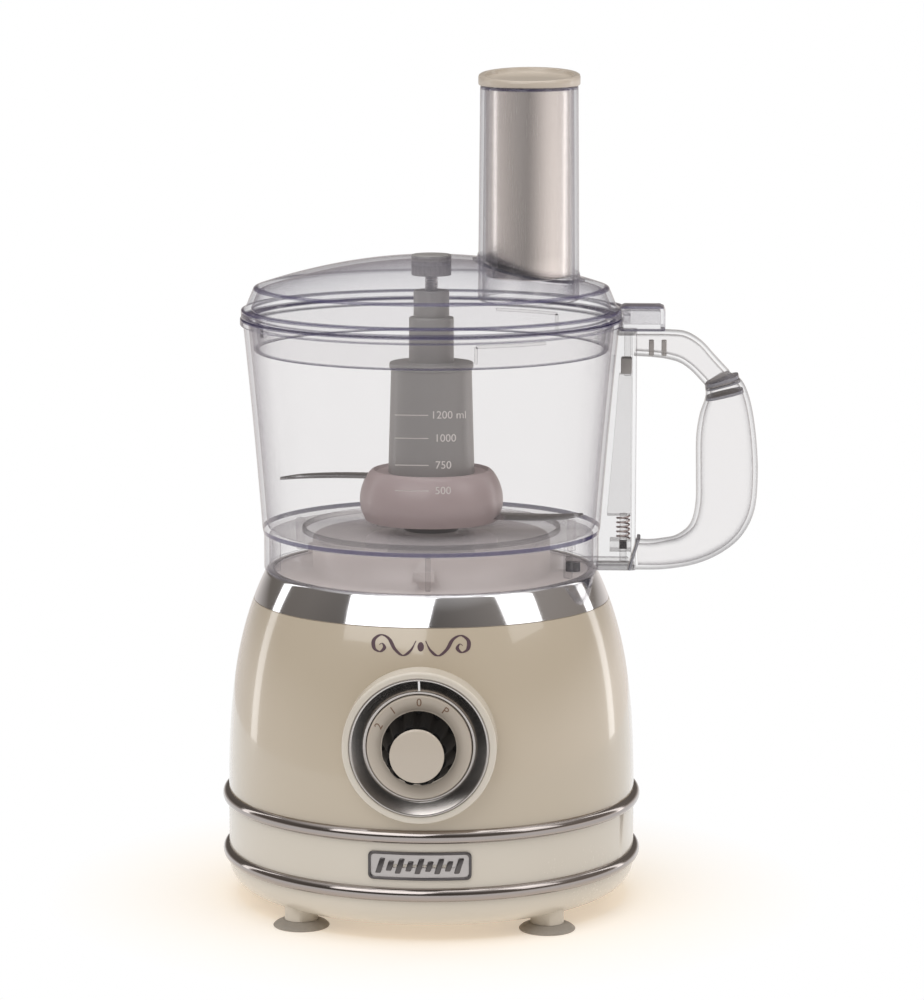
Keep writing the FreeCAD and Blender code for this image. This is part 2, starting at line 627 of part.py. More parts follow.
def bearing(centre, z0, bore, size):
    """Ball bearing: two races with a row of balls in their grooves."""
    outer, width = size[0] / 2, size[1]
    mid = (bore + outer) / 2
    ball = (outer - bore) * 0.26
    groove = Part.makeTorus(mid, ball + 0.03, V(centre.x, centre.y, z0 + width / 2), UP)
    inner_race = tube(mid - ball * 0.45, bore, z0, z0 + width, centre).cut(groove)
    outer_race = tube(outer, mid + ball * 0.45, z0, z0 + width, centre).cut(groove)
    balls = []
    for i in range(9):
        a = 2 * math.pi * i / 9
        balls.append(Part.makeSphere(ball, V(centre.x + mid * math.cos(a), centre.y + mid * math.sin(a),
                                             z0 + width / 2)))
    return [inner_race, outer_race] + balls


GEAR_BEARING_Z = CHASSIS_Z - 3.9
MOTOR_BEARING_Z = CHASSIS_Z - 2.9
LOW_BEARING_Z = STATOR_Z - 28.0
BRACKET_Z = STATOR_Z - 26.0
POST = 24.5
SHAFT_HEX_Z = BELL_TOP_Z + HUB_HEIGHT + 3.0


def bearing_cup(centre, size, z_lip, height):
    """Seat round a bearing with a lip under its outer race; returns the solid and its cut."""
    outer = size[0] / 2
    cup = cylinder(outer + 3.0, z_lip, z_lip + height, centre)
    pocket = cylinder(outer + SEAT, z_lip + 1.0, z_lip + height + 20, centre)
    return cup, pocket.fuse(cylinder(outer - 2.5, z_lip - 20, z_lip + 2, centre))


def chassis_plate():
    """Cast plate that carries the gear and motor bearings and hangs from the deck."""
    disc = cylinder(CHASSIS_RADIUS, CHASSIS_Z, CHASSIS_TOP_Z)
    gear_cup, gear_pocket = bearing_cup(ORIGIN, BEARING_6000, GEAR_BEARING_Z - 1 - SEAT, 10.0)
    motor_cup, motor_pocket = bearing_cup(MOTOR_AXIS, BEARING_608, MOTOR_BEARING_Z - 1 - SEAT, 9.0)
    adds, cuts = [disc, gear_cup, motor_cup], [gear_pocket, motor_pocket]
    for sx in (-1, 1):
        for sy in (-1, 1):
            spot = MOTOR_AXIS + V(sx * POST, sy * POST, 0)
            adds.append(cylinder(2.6, STATOR_Z + STATOR_HEIGHT + SEAT, CHASSIS_Z + 0.5, spot))
            cuts.append(cylinder(SCREW_RADIUS + 0.1, STATOR_Z, CHASSIS_Z + 1, spot))
    for angle in (45, 135, 225, 315):
        cuts.append(cylinder(SCREW_RADIUS + 0.2, 0, CHASSIS_TOP_Z + 1, polar(BOSS_PITCH_RADIUS, angle)))
    for angle in (180, 215, 245, 270, 295, 325, 0):
        cuts.append(cylinder(8.0, CHASSIS_Z - 1, CHASSIS_TOP_Z + 1, polar(46.0, angle)))
    cuts.append(frontal(THROAT_OUTER + 2.0, THROAT_DEPTH - 5.0, 2 * BODY_RADIUS))
    return joined(adds).cut(Part.makeCompound(cuts))


def drive_shaft():
    """Output shaft: round through its bearing and bushes, six-sided above the hub."""
    round_part = cylinder(SHAFT_RADIUS - RUNNING / 2, GEAR_BEARING_Z - 2, SHAFT_HEX_Z)
    corners = [polar(SHAFT_HEX / math.sqrt(3), 60 * i + 30, SHAFT_HEX_Z - 1) for i in range(7)]
    hexagon = Part.Face(Part.makePolygon(corners)).extrude(V(0, 0, SHAFT_TOP_Z - SHAFT_HEX_Z + 1))
    point = cone(SHAFT_RADIUS + 14, 0.5, SHAFT_TOP_Z - 18, SHAFT_TOP_Z + 1)
    point = point.fuse(cylinder(SHAFT_RADIUS + 14, SHAFT_HEX_Z - 2, SHAFT_TOP_Z - 18))
    collar = cylinder(8.2, GEAR_Z + GEAR_WIDTH + 4 + SEAT, GEAR_Z + GEAR_WIDTH + 7)
    return joined([round_part, hexagon.common(point), collar])


def shaft_bushes():
    """Two sintered bushes in the hub."""
    outer, inner = HUB_RADIUS - HUB_WALL - SEAT, SHAFT_RADIUS + RUNNING
    low = tube(outer, inner, PLATFORM_Z - DECK_WALL, PLATFORM_Z + 6)
    high = tube(outer, inner, BELL_TOP_Z + HUB_HEIGHT - 17, BELL_TOP_Z + HUB_HEIGHT - 6)
    return [low, high]


def shaft_seal():
    """Lip seal over the upper bush."""
    z = BELL_TOP_Z + HUB_HEIGHT
    return turn([(SHAFT_RADIUS + 0.06, z - 4), (HUB_RADIUS - HUB_WALL - SEAT, z - 5.5),
                 (HUB_RADIUS - HUB_WALL - SEAT, z - 0.5), (SHAFT_RADIUS + 0.06, z - 0.5)])


def stator_core():
    """Laminated field core with a bore and four winding slots."""
    half = STATOR_SIDE / 2
    z1 = STATOR_Z + STATOR_HEIGHT
    body = block(-half, half, -half, half, STATOR_Z, z1)
    upright = [e for e in body.Edges if abs(e.tangentAt(e.FirstParameter).z) > 0.99]
    body = body.makeFillet(6.0, upright)
    cuts = [cylinder(ARMATURE_RADIUS + AIR_GAP, 0, 2 * z1)]
    for sx in (-1, 1):
        for sy in (-1, 1):
            x0, x1 = sorted((sx * 15.0, sx * 23.0))
            y0, y1 = sorted((sy * 15.0, sy * 21.0))
            cuts.append(block(x0, x1, y0, y1, 0, 2 * z1))
            cuts.append(cylinder(SCREW_RADIUS + 0.1, 0, 2 * z1, V(sx * POST, sy * POST, 0)))
    body = body.cut(Part.makeCompound(cuts))
    body.translate(MOTOR_AXIS)
    return body


def stator_coils():
    """Two field coils through the slots, with their end turns above and below the core."""
    coils = []
    z1 = STATOR_Z + STATOR_HEIGHT
    for sx in (-1, 1):
        x0, x1 = sorted((sx * 15.3, sx * 22.7))
        loop = block(x0, x1, -20.7, 20.7, STATOR_Z - 7, z1 + 7)
        loop = loop.cut(block(x0 - 1, x1 + 1, -15.3, 15.3, STATOR_Z - 0.3, z1 + 0.3))
        loop = loop.cut(cylinder(ARMATURE_RADIUS + AIR_GAP + 0.4, STATOR_Z - 0.3, z1 + 0.3))
        loop.translate(MOTOR_AXIS)
        coils.append(loop)
    return coils


def armature_core():
    """Laminated armature with twelve slots."""
    z0, z1 = STATOR_Z + 1, STATOR_Z + STATOR_HEIGHT - 1
    body = tube(ARMATURE_RADIUS, ROTOR_SHAFT_RADIUS + SEAT, z0, z1)
    slots = []
    for i in range(12):
        slots.append(cylinder(2.4, z0 - 1, z1 + 1, polar(ARMATURE_RADIUS - 4.2, 30 * i)))
        slots.append(spun(block(ARMATURE_RADIUS - 4.2, ARMATURE_RADIUS + 1, -0.7, 0.7, z0 - 1, z1 + 1), 30 * i))
    body = body.cut(Part.makeCompound(slots))
    body.translate(MOTOR_AXIS)
    return body


def armature_windings():
    """Copper end turns at both ends of the armature."""
    rings = []
    stack_top = STATOR_Z + STATOR_HEIGHT
    for z0, z1 in ((STATOR_Z - 7, STATOR_Z + 0.9), (stack_top - 0.9, stack_top + 4)):
        low, high = ROTOR_SHAFT_RADIUS + 0.3, 14.2
        ring = turn([(low, z0), (high - 2, z0), (high, z0 + 2, high - 0.6, z0 + 0.6), (high, z1 - 2),
                     (high - 2, z1, high - 0.6, z1 - 0.6), (low, z1)])
        ring.translate(MOTOR_AXIS)
        rings.append(ring)
    return rings


def commutator():
    """Segmented copper drum below the armature."""
    z0, z1 = STATOR_Z - 18, STATOR_Z - 7.2
    body = tube(COMMUTATOR_RADIUS, ROTOR_SHAFT_RADIUS + SEAT, z0, z1)
    grooves = [spun(block(COMMUTATOR_RADIUS - 1.2, COMMUTATOR_RADIUS + 1, -0.3, 0.3, z0 - 1, z1 - 2), 15 * i)
               for i in range(24)]
    body = body.cut(Part.makeCompound(grooves))
    body.translate(MOTOR_AXIS)
    return body


def motor_shaft():
    """Rotor shaft from below the fan to the top of the pinion."""
    return cylinder(ROTOR_SHAFT_RADIUS - RUNNING / 2, LOW_BEARING_Z - 17, GEAR_Z + GEAR_WIDTH + 3, MOTOR_AXIS)


def cooling_fan():
    """Radial fan under the motor."""
    z1 = LOW_BEARING_Z - 2.0
    z0 = z1 - 12.0
    hub = tube(8.0, ROTOR_SHAFT_RADIUS + SEAT, z0, z1)
    plate = tube(FAN_RADIUS, ROTOR_SHAFT_RADIUS + SEAT, z1 - 2, z1)
    vanes = [spun(block(7.0, FAN_RADIUS - 0.6, -0.8, 0.8, z0 + 1, z1 - 1), 40 * i) for i in range(9)]
    body = joined([hub, plate] + vanes)
    body.translate(MOTOR_AXIS)
    return body


def motor_bracket():
    """Lower motor bracket with its bearing cup and four posts up to the core."""
    plate = cylinder(29.0, BRACKET_Z, BRACKET_Z + 3)
    cup, pocket = bearing_cup(ORIGIN, BEARING_608, LOW_BEARING_Z - 1 - SEAT, 9.0)
    adds, cuts = [plate, cup], [pocket]
    for sx in (-1, 1):
        for sy in (-1, 1):
            spot = V(sx * POST, sy * POST, 0)
            adds.append(cylinder(3.6, BRACKET_Z, BRACKET_Z + 4, spot))
            adds.append(cylinder(2.6, BRACKET_Z, STATOR_Z - SEAT, spot))
            adds.append(spun(block(20, POST * math.sqrt(2), -2.6, 2.6, BRACKET_Z, BRACKET_Z + 3),
                             math.degrees(math.atan2(sy, sx))))
            cuts.append(cylinder(SCREW_RADIUS + 0.1, 0, STATOR_Z, spot))
    body = joined(adds).cut(Part.makeCompound(cuts))
    for sy in (-1, 1):
        body = body.cut(block(-5, 5, sy * 20 - 4, sy * 20 + 4, 0, STATOR_Z))
    body.translate(MOTOR_AXIS)
    return body


def brush_parts():
    """Brush holders standing on the bracket, and the carbon brushes in them."""
    z = STATOR_Z - 13
    holders, brushes = [], []
    for sx in (-1, 1):
        x0, x1 = sorted((sx * (COMMUTATOR_RADIUS + 1.5), sx * 24.0))
        box = block(x0, x1, -4.4, 4.4, z - 4.4, z + 4.4)
        leg_x0, leg_x1 = sorted((sx * 15.0, sx * 23.0))
        leg = block(leg_x0, leg_x1, -3, 3, BRACKET_Z + 3 + SEAT, z - 4)
        holder = box.fuse(leg).cut(block(x0 - 1, x1 + 1, -2.6, 2.6, z - 3.1, z + 3.1))
        b0, b1 = sorted((sx * (COMMUTATOR_RADIUS - 1), sx * 21.0))
        brush = block(b0, b1, -2.5, 2.5, z - 3, z + 3).cut(cylinder(COMMUTATOR_RADIUS + 0.05, 0, 2 * z))
        for piece in (holder, brush):
            piece.translate(MOTOR_AXIS)
        holders.append(holder)
        brushes.append(brush)
    return holders, brushes


def motor_screws():
    """Four long screws through the bracket and the core into the chassis."""
    head_z = BRACKET_Z - 2.4 - SEAT
    return [screw(MOTOR_AXIS + V(sx * POST, sy * POST, 0), head_z, CHASSIS_Z - 4 - BRACKET_Z)
            for sx in (-1, 1) for sy in (-1, 1)]


def chassis_screws():
    """Four screws that hold the chassis up to the deck's bosses."""
    return [screw(polar(BOSS_PITCH_RADIUS, a), CHASSIS_Z - 2.4 - SEAT, 14.0) for a in (45, 135, 225, 315)]


def housing_screws():
    """Four screws from under the pan into the bell's bosses."""
    head_z = FLOOR_Z + CORNER_RADIUS + 6 - 2.4 - SEAT
    return [screw(polar(BODY_RADIUS - FLOOR_WALL - 4.8, a), head_z, SPLIT_Z - head_z + 14)
            for a in HOUSING_BOSS_ANGLES]


def suppressor_capacitor():
    """Suppressor block on the pan's floor, in front of the vents."""
    z = FLOOR_Z + FLOOR_WALL + SEAT
    body = block(-52, -26, -38, -24, z, z + 18)
    upright = [e for e in body.Edges if abs(e.tangentAt(e.FirstParameter).z) > 0.99]
    return body.makeFillet(2.0, upright)


# ---------------------------------------------------------------- interlock, base side
BUTTON_FLANGE_Z = DECK_Z - DECK_WALL - INTERLOCK_TRAVEL - 3.6
SWITCH_TOP_Z = BUTTON_FLANGE_Z - 8.0
FOOT_Z = BOWL_BOTTOM_Z + COLUMN_WALL + 0.6
SEAT_Z = FOOT_Z + FOOT_THICKNESS + INTERLOCK_TRAVEL + 0.7
SEAT_TOP_Z = SEAT_Z + SEAT_HEIGHT
ROD_BOTTOM_Z = SEAT_TOP_Z + SPRING_LENGTH
ARM_TOP_Z = BOWL_RIM_Z - HANDLE_TOP_DROP
PIN_TOP_Z = ARM_TOP_Z + 0.2
RAMP_Z = PIN_TOP_Z + SLIP + 0.16


def interlock_button():
    """Sprung button in the deck that the rod's foot holds down."""
    centre = V(BUTTON_X, 0, 0)
    top = FOOT_Z - SLIP
    stem = cylinder(BUTTON_RADIUS, BUTTON_FLANGE_Z, top, centre)
    flange = cylinder(4.2, BUTTON_FLANGE_Z, BUTTON_FLANGE_Z + 1.5, centre)
    nose = cylinder(1.5, SWITCH_TOP_Z + 1.4, BUTTON_FLANGE_Z + 0.5, centre)
    return joined([stem, flange, nose])


def coil_spring(centre, z0, length, turns, radius, wire):
    """Round-wire compression spring."""
    path = Part.makeHelix((length - 2 * wire - 0.1) / turns, length - 2 * wire - 0.1, radius - wire)
    profile = Part.Wire([Part.makeCircle(wire, V(radius - wire, 0, 0), V(0, 1, 0))])
    solid = Part.Wire(path.Edges).makePipeShell([profile], True, True)
    solid.translate(V(centre.x, centre.y, z0 + wire + 0.05))
    return solid


def safety_switch():
    """Microswitch between the deck's cheeks, under the button."""
    case = block(BUTTON_X - 8, BUTTON_X + 8, -4.2, 4.2, SWITCH_TOP_Z - 10, SWITCH_TOP_Z)
    nub = cylinder(1.0, SWITCH_TOP_Z - 0.5, SWITCH_TOP_Z + 1.0, V(BUTTON_X, 0, 0))
    return case.fuse(nub)


# ---------------------------------------------------------------- bowl
def bowl_outer(z):
    """The bowl's outside radius at a level between its floor and its rim; it flares a little."""
    t = (z - BOWL_FLOOR_Z) / BOWL_DEPTH
    return BOWL_FLOOR_RADIUS + (BOWL_RIM_RADIUS - BOWL_FLOOR_RADIUS) * (0.83 * t + 0.17 * t * t)


def bowl_shell():
    """The bowl's turned part: skirt, floor, wall, rim and chimney."""
    w, fz, rz = BOWL_WALL, BOWL_FLOOR_Z, BOWL_RIM_Z
    mid = (fz + rz) / 2
    foot, top, half = bowl_outer(fz), bowl_outer(rz - 4), bowl_outer(mid)
    skirt = foot - 0.7
    chimney, inner = CHIMNEY_RADIUS, CHIMNEY_RADIUS - CHIMNEY_WALL
    outer = [(skirt, BOWL_BOTTOM_Z), (skirt, fz - 3), (foot, fz), (top, rz - 4, half, mid), (top + 0.4, rz - 3.6),
             (BOWL_RIM_RADIUS + RIM_FLANGE, rz - 3.0), (BOWL_RIM_RADIUS + RIM_FLANGE, rz)]
    inside = [(top - w, rz), (top - w, rz - 4), (foot - w + 0.4, fz + 4, half - w, mid),
              (foot - w - 3.6, fz, foot - w - 0.8, fz + 1.0), (chimney + 2, fz),
              (chimney, fz + 2, chimney + 0.6, fz + 0.6), (chimney, CHIMNEY_TOP_Z), (inner, CHIMNEY_TOP_Z),
              (inner, fz - w), (foot - w - 0.7, fz - w), (skirt - w, fz - w - 1.5), (skirt - w, BOWL_BOTTOM_Z)]
    return turn(outer + inside)


def column_outline():
    """XZ outline of the column beside the bowl."""
    return [(70, BOWL_BOTTOM_Z), (HANDLE_GAP_INNER, BOWL_BOTTOM_Z), (HANDLE_GAP_INNER, ARM_TOP_Z),
            (70, ARM_TOP_Z)]


def arm_stations():
    """XZ outline of the upper arm, from the column to the ferrule."""
    top, t = ARM_TOP_Z, ARM_THICKNESS
    x = HANDLE_REACH
    return [(HANDLE_GAP_INNER - 1.5, top), (x - 43, top), (x - 20.5, top - 12.5, x - 29.5, top - 4.0),
            (x - 14.0, top - 19.5), (x - 25.4, top - 26.1), (x - 44.7, top - t - 0.6, x - 32.8, top - 18.0),
            (HANDLE_GAP_INNER - 1.5, top - t + 0.6)]


def grip_stations():
    """XZ outline of the grip and the lower arm, from the ferrule to the column."""
    low, top, x, gap = BOWL_BOTTOM_Z - 0.6, ARM_TOP_Z, HANDLE_REACH, HANDLE_GAP_OUTER
    return [(HANDLE_GAP_INNER + SEAT, low), (x - 44, low + 0.3), (x - 8.2, low + 16.0, x - 21.0, low + 6.0),
            (x - 4.5, top - 20.6, x, top - 58.0), (gap + 3.9, top - 26.2), (gap + 4.1, top - 34.0),
            (gap, top - 52.0, gap + 1.2, top - 42.0), (gap + 0.2, low + 31.0),
            (HANDLE_GAP_INNER + 7, low + 13.8, gap - 4.4, low + 18.6), (HANDLE_GAP_INNER + SEAT, low + 14.6)]


def hollow_slab(stations, half_width, wall, rounding):
    """A slab with eased long edges and a hollow that leaves a wall all round."""
    def section(inset, y):
        wire = outline(stations).OuterWire
        if inset > 0:
            wire = wire.makeOffset2D(-inset, 2)
        wire.translate(V(0, y, 0))
        return wire

    steps = [(half_width, rounding), (half_width - 0.3 * rounding, 0.3 * rounding), (half_width - rounding, 0)]
    layers = [section(inset, -y) for y, inset in steps] + [section(inset, y) for y, inset in reversed(steps)]
    solid = Part.makeLoft(layers, True, True)
    inner = Part.Face(section(wall, wall - half_width))
    return solid.cut(inner.extrude(V(0, 2 * (half_width - wall), 0)))


def bowl():
    """Clear bowl with its column and the upper arm of the handle."""
    half = COLUMN_WIDTH / 2
    outside = turn([(0, BOWL_BOTTOM_Z), (bowl_outer(BOWL_FLOOR_Z) - 1.5, BOWL_BOTTOM_Z),
                    (bowl_outer(BOWL_FLOOR_Z) - 1.5, BOWL_FLOOR_Z), (bowl_outer(BOWL_RIM_Z) - 2.0, BOWL_RIM_Z),
                    (0, BOWL_RIM_Z)])
    column = slab_of(column_outline(), half)
    room = block(70, HANDLE_GAP_INNER - COLUMN_WALL, -half + COLUMN_WALL, half - COLUMN_WALL,
                 BOWL_BOTTOM_Z + COLUMN_WALL, ARM_TOP_Z - 2 * COLUMN_WALL)
    arm = hollow_slab(arm_stations(), ARM_WIDTH / 2, HANDLE_WALL, 3.0)
    shell = bowl_shell()
    wall_zone = turn([(0, BOWL_BOTTOM_Z - 1), (bowl_outer(BOWL_FLOOR_Z) - 0.7, BOWL_BOTTOM_Z - 1),
                      (bowl_outer(BOWL_FLOOR_Z), BOWL_FLOOR_Z), (bowl_outer(BOWL_RIM_Z), BOWL_RIM_Z + 1),
                      (0, BOWL_RIM_Z + 1)])
    side = column.cut(room.cut(wall_zone)).cut(outside)
    body = joined([shell, side, arm])
    ring = tube(62.0, 60.2, BOWL_FLOOR_Z - BOWL_WALL / 2, BOWL_FLOOR_Z + 1.2)
    ribs = []
    width, deep = SKIRT_RIB
    inner = bowl_outer(BOWL_FLOOR_Z) - 0.7 - BOWL_WALL
    for angle in SKIRT_RIB_ANGLES:
        ribs.append(spun(block(inner - deep, inner + 0.8, -width / 2, width / 2, BOWL_BOTTOM_Z + 1.2,
                               BOWL_FLOOR_Z - BOWL_WALL + 0.5), angle))
    body = joined([body, ring] + ribs)
    window = block(70, 86, -ROD_HALF_WIDTH - 1, ROD_HALF_WIDTH + 1, BOWL_BOTTOM_Z + COLUMN_WALL, SEAT_Z)
    pin_hole = cylinder(PIN_RADIUS + SLIP, ARM_TOP_Z - 9, ARM_TOP_Z + 5, V(PIN_X, 0, 0))
    body = body.cut(window.fuse(pin_hole))
    tabs = [block(x, x + 2.4, -4.0, 4.0, ARM_TOP_Z - ARM_THICKNESS + 1, ARM_TOP_Z - 5)
            for x in (HANDLE_GAP_INNER + 5.6, HANDLE_GAP_INNER + 11.6)]
    return joined([body] + tabs)


def handle_grip():
    """Clear hollow grip with the lower arm, joined to the arm at a ferrule."""
    body = hollow_slab(grip_stations(), GRIP_WIDTH / 2, HANDLE_WALL, 5.0)
    return body


def rod_seat():
    """Plug across the column that guides the rod's stem and carries its spring."""
    half = COLUMN_WIDTH / 2 - COLUMN_WALL - SEAT
    out = HANDLE_GAP_INNER - COLUMN_WALL - SEAT
    body = block(bowl_outer(SEAT_TOP_Z) + 5.0, out, -half, half, SEAT_Z, SEAT_TOP_Z)
    return body.cut(cylinder(PIN_RADIUS + SLIP, 0, 2 * SEAT_TOP_Z, V(PIN_X - 1.6, 0, 0)))


def interlock_rod():
    """Rod in the column: pin under the lid, tapered body, stem through the spring, and foot."""
    top = ARM_TOP_Z - 21.0
    out = HANDLE_GAP_INNER - COLUMN_WALL - 0.5
    low_in = bowl_outer(ROD_BOTTOM_Z) + 2.6
    body = slab_of([(low_in, ROD_BOTTOM_Z), (out, ROD_BOTTOM_Z), (out, top), (bowl_outer(top) + 2.2, top)],
                   ROD_HALF_WIDTH)
    pin = cylinder(PIN_RADIUS, top - 1, PIN_TOP_Z, V(PIN_X, 0, 0))
    stem = cylinder(PIN_RADIUS, FOOT_Z + 0.5, ROD_BOTTOM_Z + 1, V(PIN_X - 1.6, 0, 0))
    foot = block(BUTTON_X - BUTTON_RADIUS, PIN_X + 1, -3.0, 3.0, FOOT_Z, FOOT_Z + FOOT_THICKNESS)
    return joined([body, pin, stem, foot])


def bowl_sleeve():
    """Liner in the bowl's chimney that runs on the hub."""
    outer, inner = CHIMNEY_RADIUS - CHIMNEY_WALL - SLIP, HUB_RADIUS + SLIP
    top = CHIMNEY_TOP_Z + SLIP
    return turn([(inner, BOWL_FLOOR_Z - 1), (outer, BOWL_FLOOR_Z - 1), (outer, top), (CHIMNEY_RADIUS - 0.4, top),
                 (CHIMNEY_RADIUS - 0.4, top + 1.4), (inner, top + 1.4)])


# ---------------------------------------------------------------- lid
def oval(half_x, half_y, z):
    """An oval wire round the feed tube's axis, longer across the lid's radius."""
    ellipse = Part.Ellipse(V(TUBE_X, half_y, z), V(TUBE_X + half_x, 0, z), V(TUBE_X, 0, z))
    return Part.Wire([ellipse.toShape()])


def oval_post(half_x, half_y, z0, z1, draft=0.0):
    """A solid oval post, wider at its foot by the draft."""
    return Part.makeLoft([oval(half_x + draft, half_y + draft, z0), oval(half_x, half_y, z1)], True, True)


def lid():
    """Clear lid: dome, shoulder, flange, skirt, feed tube, tongue and the rod's ramp."""
    w, rim = LID_WALL, BOWL_RIM_RADIUS
    shoulder = rim - LID_SHOULDER_INSET
    plug = bowl_outer(BOWL_RIM_Z - 4) - BOWL_WALL - 0.7
    skirt_end = plug - 2.2
    bottom = BOWL_RIM_Z - LID_SKIRT_DEPTH
    flange_top = LID_Z + LID_FLANGE_HEIGHT
    hole = LID_BUSH_RADIUS + SLIP
    bow = DOME_RISE * 0.27
    shell = turn([(hole, DOME_TOP_Z - w), (shoulder - 4.0, SHOULDER_Z - w, shoulder / 2, DOME_TOP_Z - bow - w),
                  (rim - 5.0, flange_top), (plug - w, LID_Z), (skirt_end - w, bottom), (skirt_end, bottom),
                  (plug, LID_Z), (rim + RIM_FLANGE - 0.5, LID_Z), (rim + RIM_FLANGE - 0.5, flange_top),
                  (rim - 1.2, flange_top), (shoulder + 0.6, SHOULDER_Z - 0.6), (shoulder - 0.6, SHOULDER_Z),
                  (hole, DOME_TOP_Z, shoulder / 2, DOME_TOP_Z - bow)])
    z0 = SHOULDER_Z - TUBE_DROP
    post = oval_post(TUBE_HALF_X, TUBE_HALF_Y, z0, TUBE_TOP_Z, TUBE_DRAFT)
    bore = oval_post(TUBE_HALF_X - TUBE_WALL, TUBE_HALF_Y - TUBE_WALL, z0 - 1, TUBE_TOP_Z + 1, TUBE_DRAFT)
    tongue = block(rim - 1, TONGUE_REACH, -TONGUE_WIDTH / 2, TONGUE_WIDTH / 2, ARM_TOP_Z + 0.5,
                   ARM_TOP_Z + 0.5 + TONGUE_HEIGHT)
    hollow = block(rim - 9, TONGUE_REACH - LID_WALL, -TONGUE_WIDTH / 2 + LID_WALL, TONGUE_WIDTH / 2 - LID_WALL,
                   ARM_TOP_Z - 1, ARM_TOP_Z + 0.5 + TONGUE_HEIGHT - LID_WALL)
    keep_out = cylinder(rim + RIM_FLANGE + SLIP, 0, LID_Z)
    inside = cylinder(rim - 2.0, 0, 2 * LID_Z)
    tongue = tongue.cut(hollow).cut(keep_out).cut(inside)
    slope = INTERLOCK_TRAVEL / (PIN_X * math.sin(math.radians(LID_TWIST)))
    far = (PIN_X + 3) * math.sin(math.radians(LID_TWIST + 3.5))
    ramp_top = flange_top - 0.2
    wedge = Part.Face(Part.makePolygon([V(0, -4, RAMP_Z - 4 * slope), V(0, far, RAMP_Z + far * slope),
                                        V(0, far, ramp_top), V(0, -4, ramp_top), V(0, -4, RAMP_Z - 4 * slope)]))
    wedge = wedge.extrude(V(2 * rim, 0, 0))
    band = tube(PIN_X + PIN_RADIUS + 0.6, rim - 1.0, RAMP_Z - 5, ramp_top).cut(keep_out)
    ramp = wedge.common(band)
    path = Part.Face(Part.makePolygon([V(0, -4, 0), V(0, far, 0), V(0, far, RAMP_Z + far * slope),
                                       V(0, -4, RAMP_Z - 4 * slope), V(0, -4, 0)])).extrude(V(2 * rim, 0, 0))
    track = tube(PIN_X + PIN_RADIUS + 0.6, rim - 1.0, 0, ramp_top)
    body = joined([shell, post, tongue.cut(path.common(track)), ramp]).cut(bore)
    rib_z = BOWL_RIM_Z - 4.4
    ribs = []
    for start in (-73.0, 47.0, 167.0):
        arc = tube(skirt_end + 1.9, skirt_end + 0.3, rib_z, rib_z + 1.2)
        wedge_cut = Part.Face(Part.makePolygon([ORIGIN, polar(200, start), polar(200, start + 24), ORIGIN]))
        arc = arc.common(wedge_cut.extrude(V(0, 0, 400)))
        leg = spun(block(skirt_end + 0.3, skirt_end + 1.9, -0.6, 0.6, rib_z - 7, rib_z + 0.6), start)
        ribs += [arc, leg]
    return joined([body] + ribs)


def lid_bush():
    """Bush in the centre of the lid that steadies the blade's pin."""
    r = LID_BUSH_RADIUS
    z0, z1 = DOME_TOP_Z - 9.4, DOME_TOP_Z + 0.6
    body = turn([(TIP_PIN_RADIUS + SLIP, z0), (r, z0), (r, z1 - 1), (r - 1, z1), (0, z1), (0, z1 - 2.4),
                 (TIP_PIN_RADIUS + SLIP, z1 - 2.4)])
    flutes = [cylinder(0.5, z0 - 1, z1 - 3, polar(r + 0.2, 15 * i)) for i in range(24)]
    return body.cut(Part.makeCompound(flutes))


# ---------------------------------------------------------------- pusher
PUSH_X = TUBE_HALF_X - TUBE_WALL - PUSHER_GAP
PUSH_Y = TUBE_HALF_Y - TUBE_WALL - PUSHER_GAP


def pusher_sleeve():
    """Satin sleeve that fills the feed tube, closed at its lower end."""
    z0, z1 = TUBE_TOP_Z - PUSHER_LENGTH, TUBE_TOP_Z + SLIP + 1.0
    body = oval_post(PUSH_X, PUSH_Y, z0, z1)
    inner = oval_post(PUSH_X - PUSHER_WALL, PUSH_Y - PUSHER_WALL, z0 + 2, z1 + 1)
    return body.cut(inner)


def pusher_cap():
    """Cream cap: a rim over the tube, a top that rises to the back and a shallow dish."""
    out = CAP_OVERHANG
    z0 = TUBE_TOP_Z + SLIP
    top = z0 + CAP_BAND + CAP_TILT
    block_up = oval_post(TUBE_HALF_X + out, TUBE_HALF_Y + out, z0, top)
    reach = TUBE_HALF_Y + out + 2
    slope = CAP_TILT / (2 * reach)
    cover = Part.Face(Part.makePolygon([V(0, -reach, z0 + CAP_BAND), V(0, reach, z0 + CAP_BAND + 2 * reach * slope),
                                        V(0, reach, top + 20), V(0, -reach, top + 20),
                                        V(0, -reach, z0 + CAP_BAND)])).extrude(V(200, 0, 0))
    body = block_up.cut(cover)
    dish = oval_post(TUBE_HALF_X - 2.2, TUBE_HALF_Y - 2.2, z0, top + 9)
    floor = cover.copy()
    floor.translate(V(0, 0, -CAP_DISH))
    body = body.cut(dish.common(floor))
    groove = oval_post(PUSH_X + SEAT, PUSH_Y + SEAT, z0 - 1, z0 + 1.0 + SEAT)
    plug = oval_post(PUSH_X - PUSHER_WALL - SEAT, PUSH_Y - PUSHER_WALL - SEAT, z0 - 8, z0 + 0.5)
    hollow = oval_post(PUSH_X - 4.0, PUSH_Y - 4.0, z0 - 9, z0 - 0.5)
    core = oval_post(PUSH_X - PUSHER_WALL - SEAT, PUSH_Y - PUSHER_WALL - SEAT, z0 - 1, z0 + 2.0)
    return joined([body.cut(groove.cut(core)), plug.cut(hollow)])


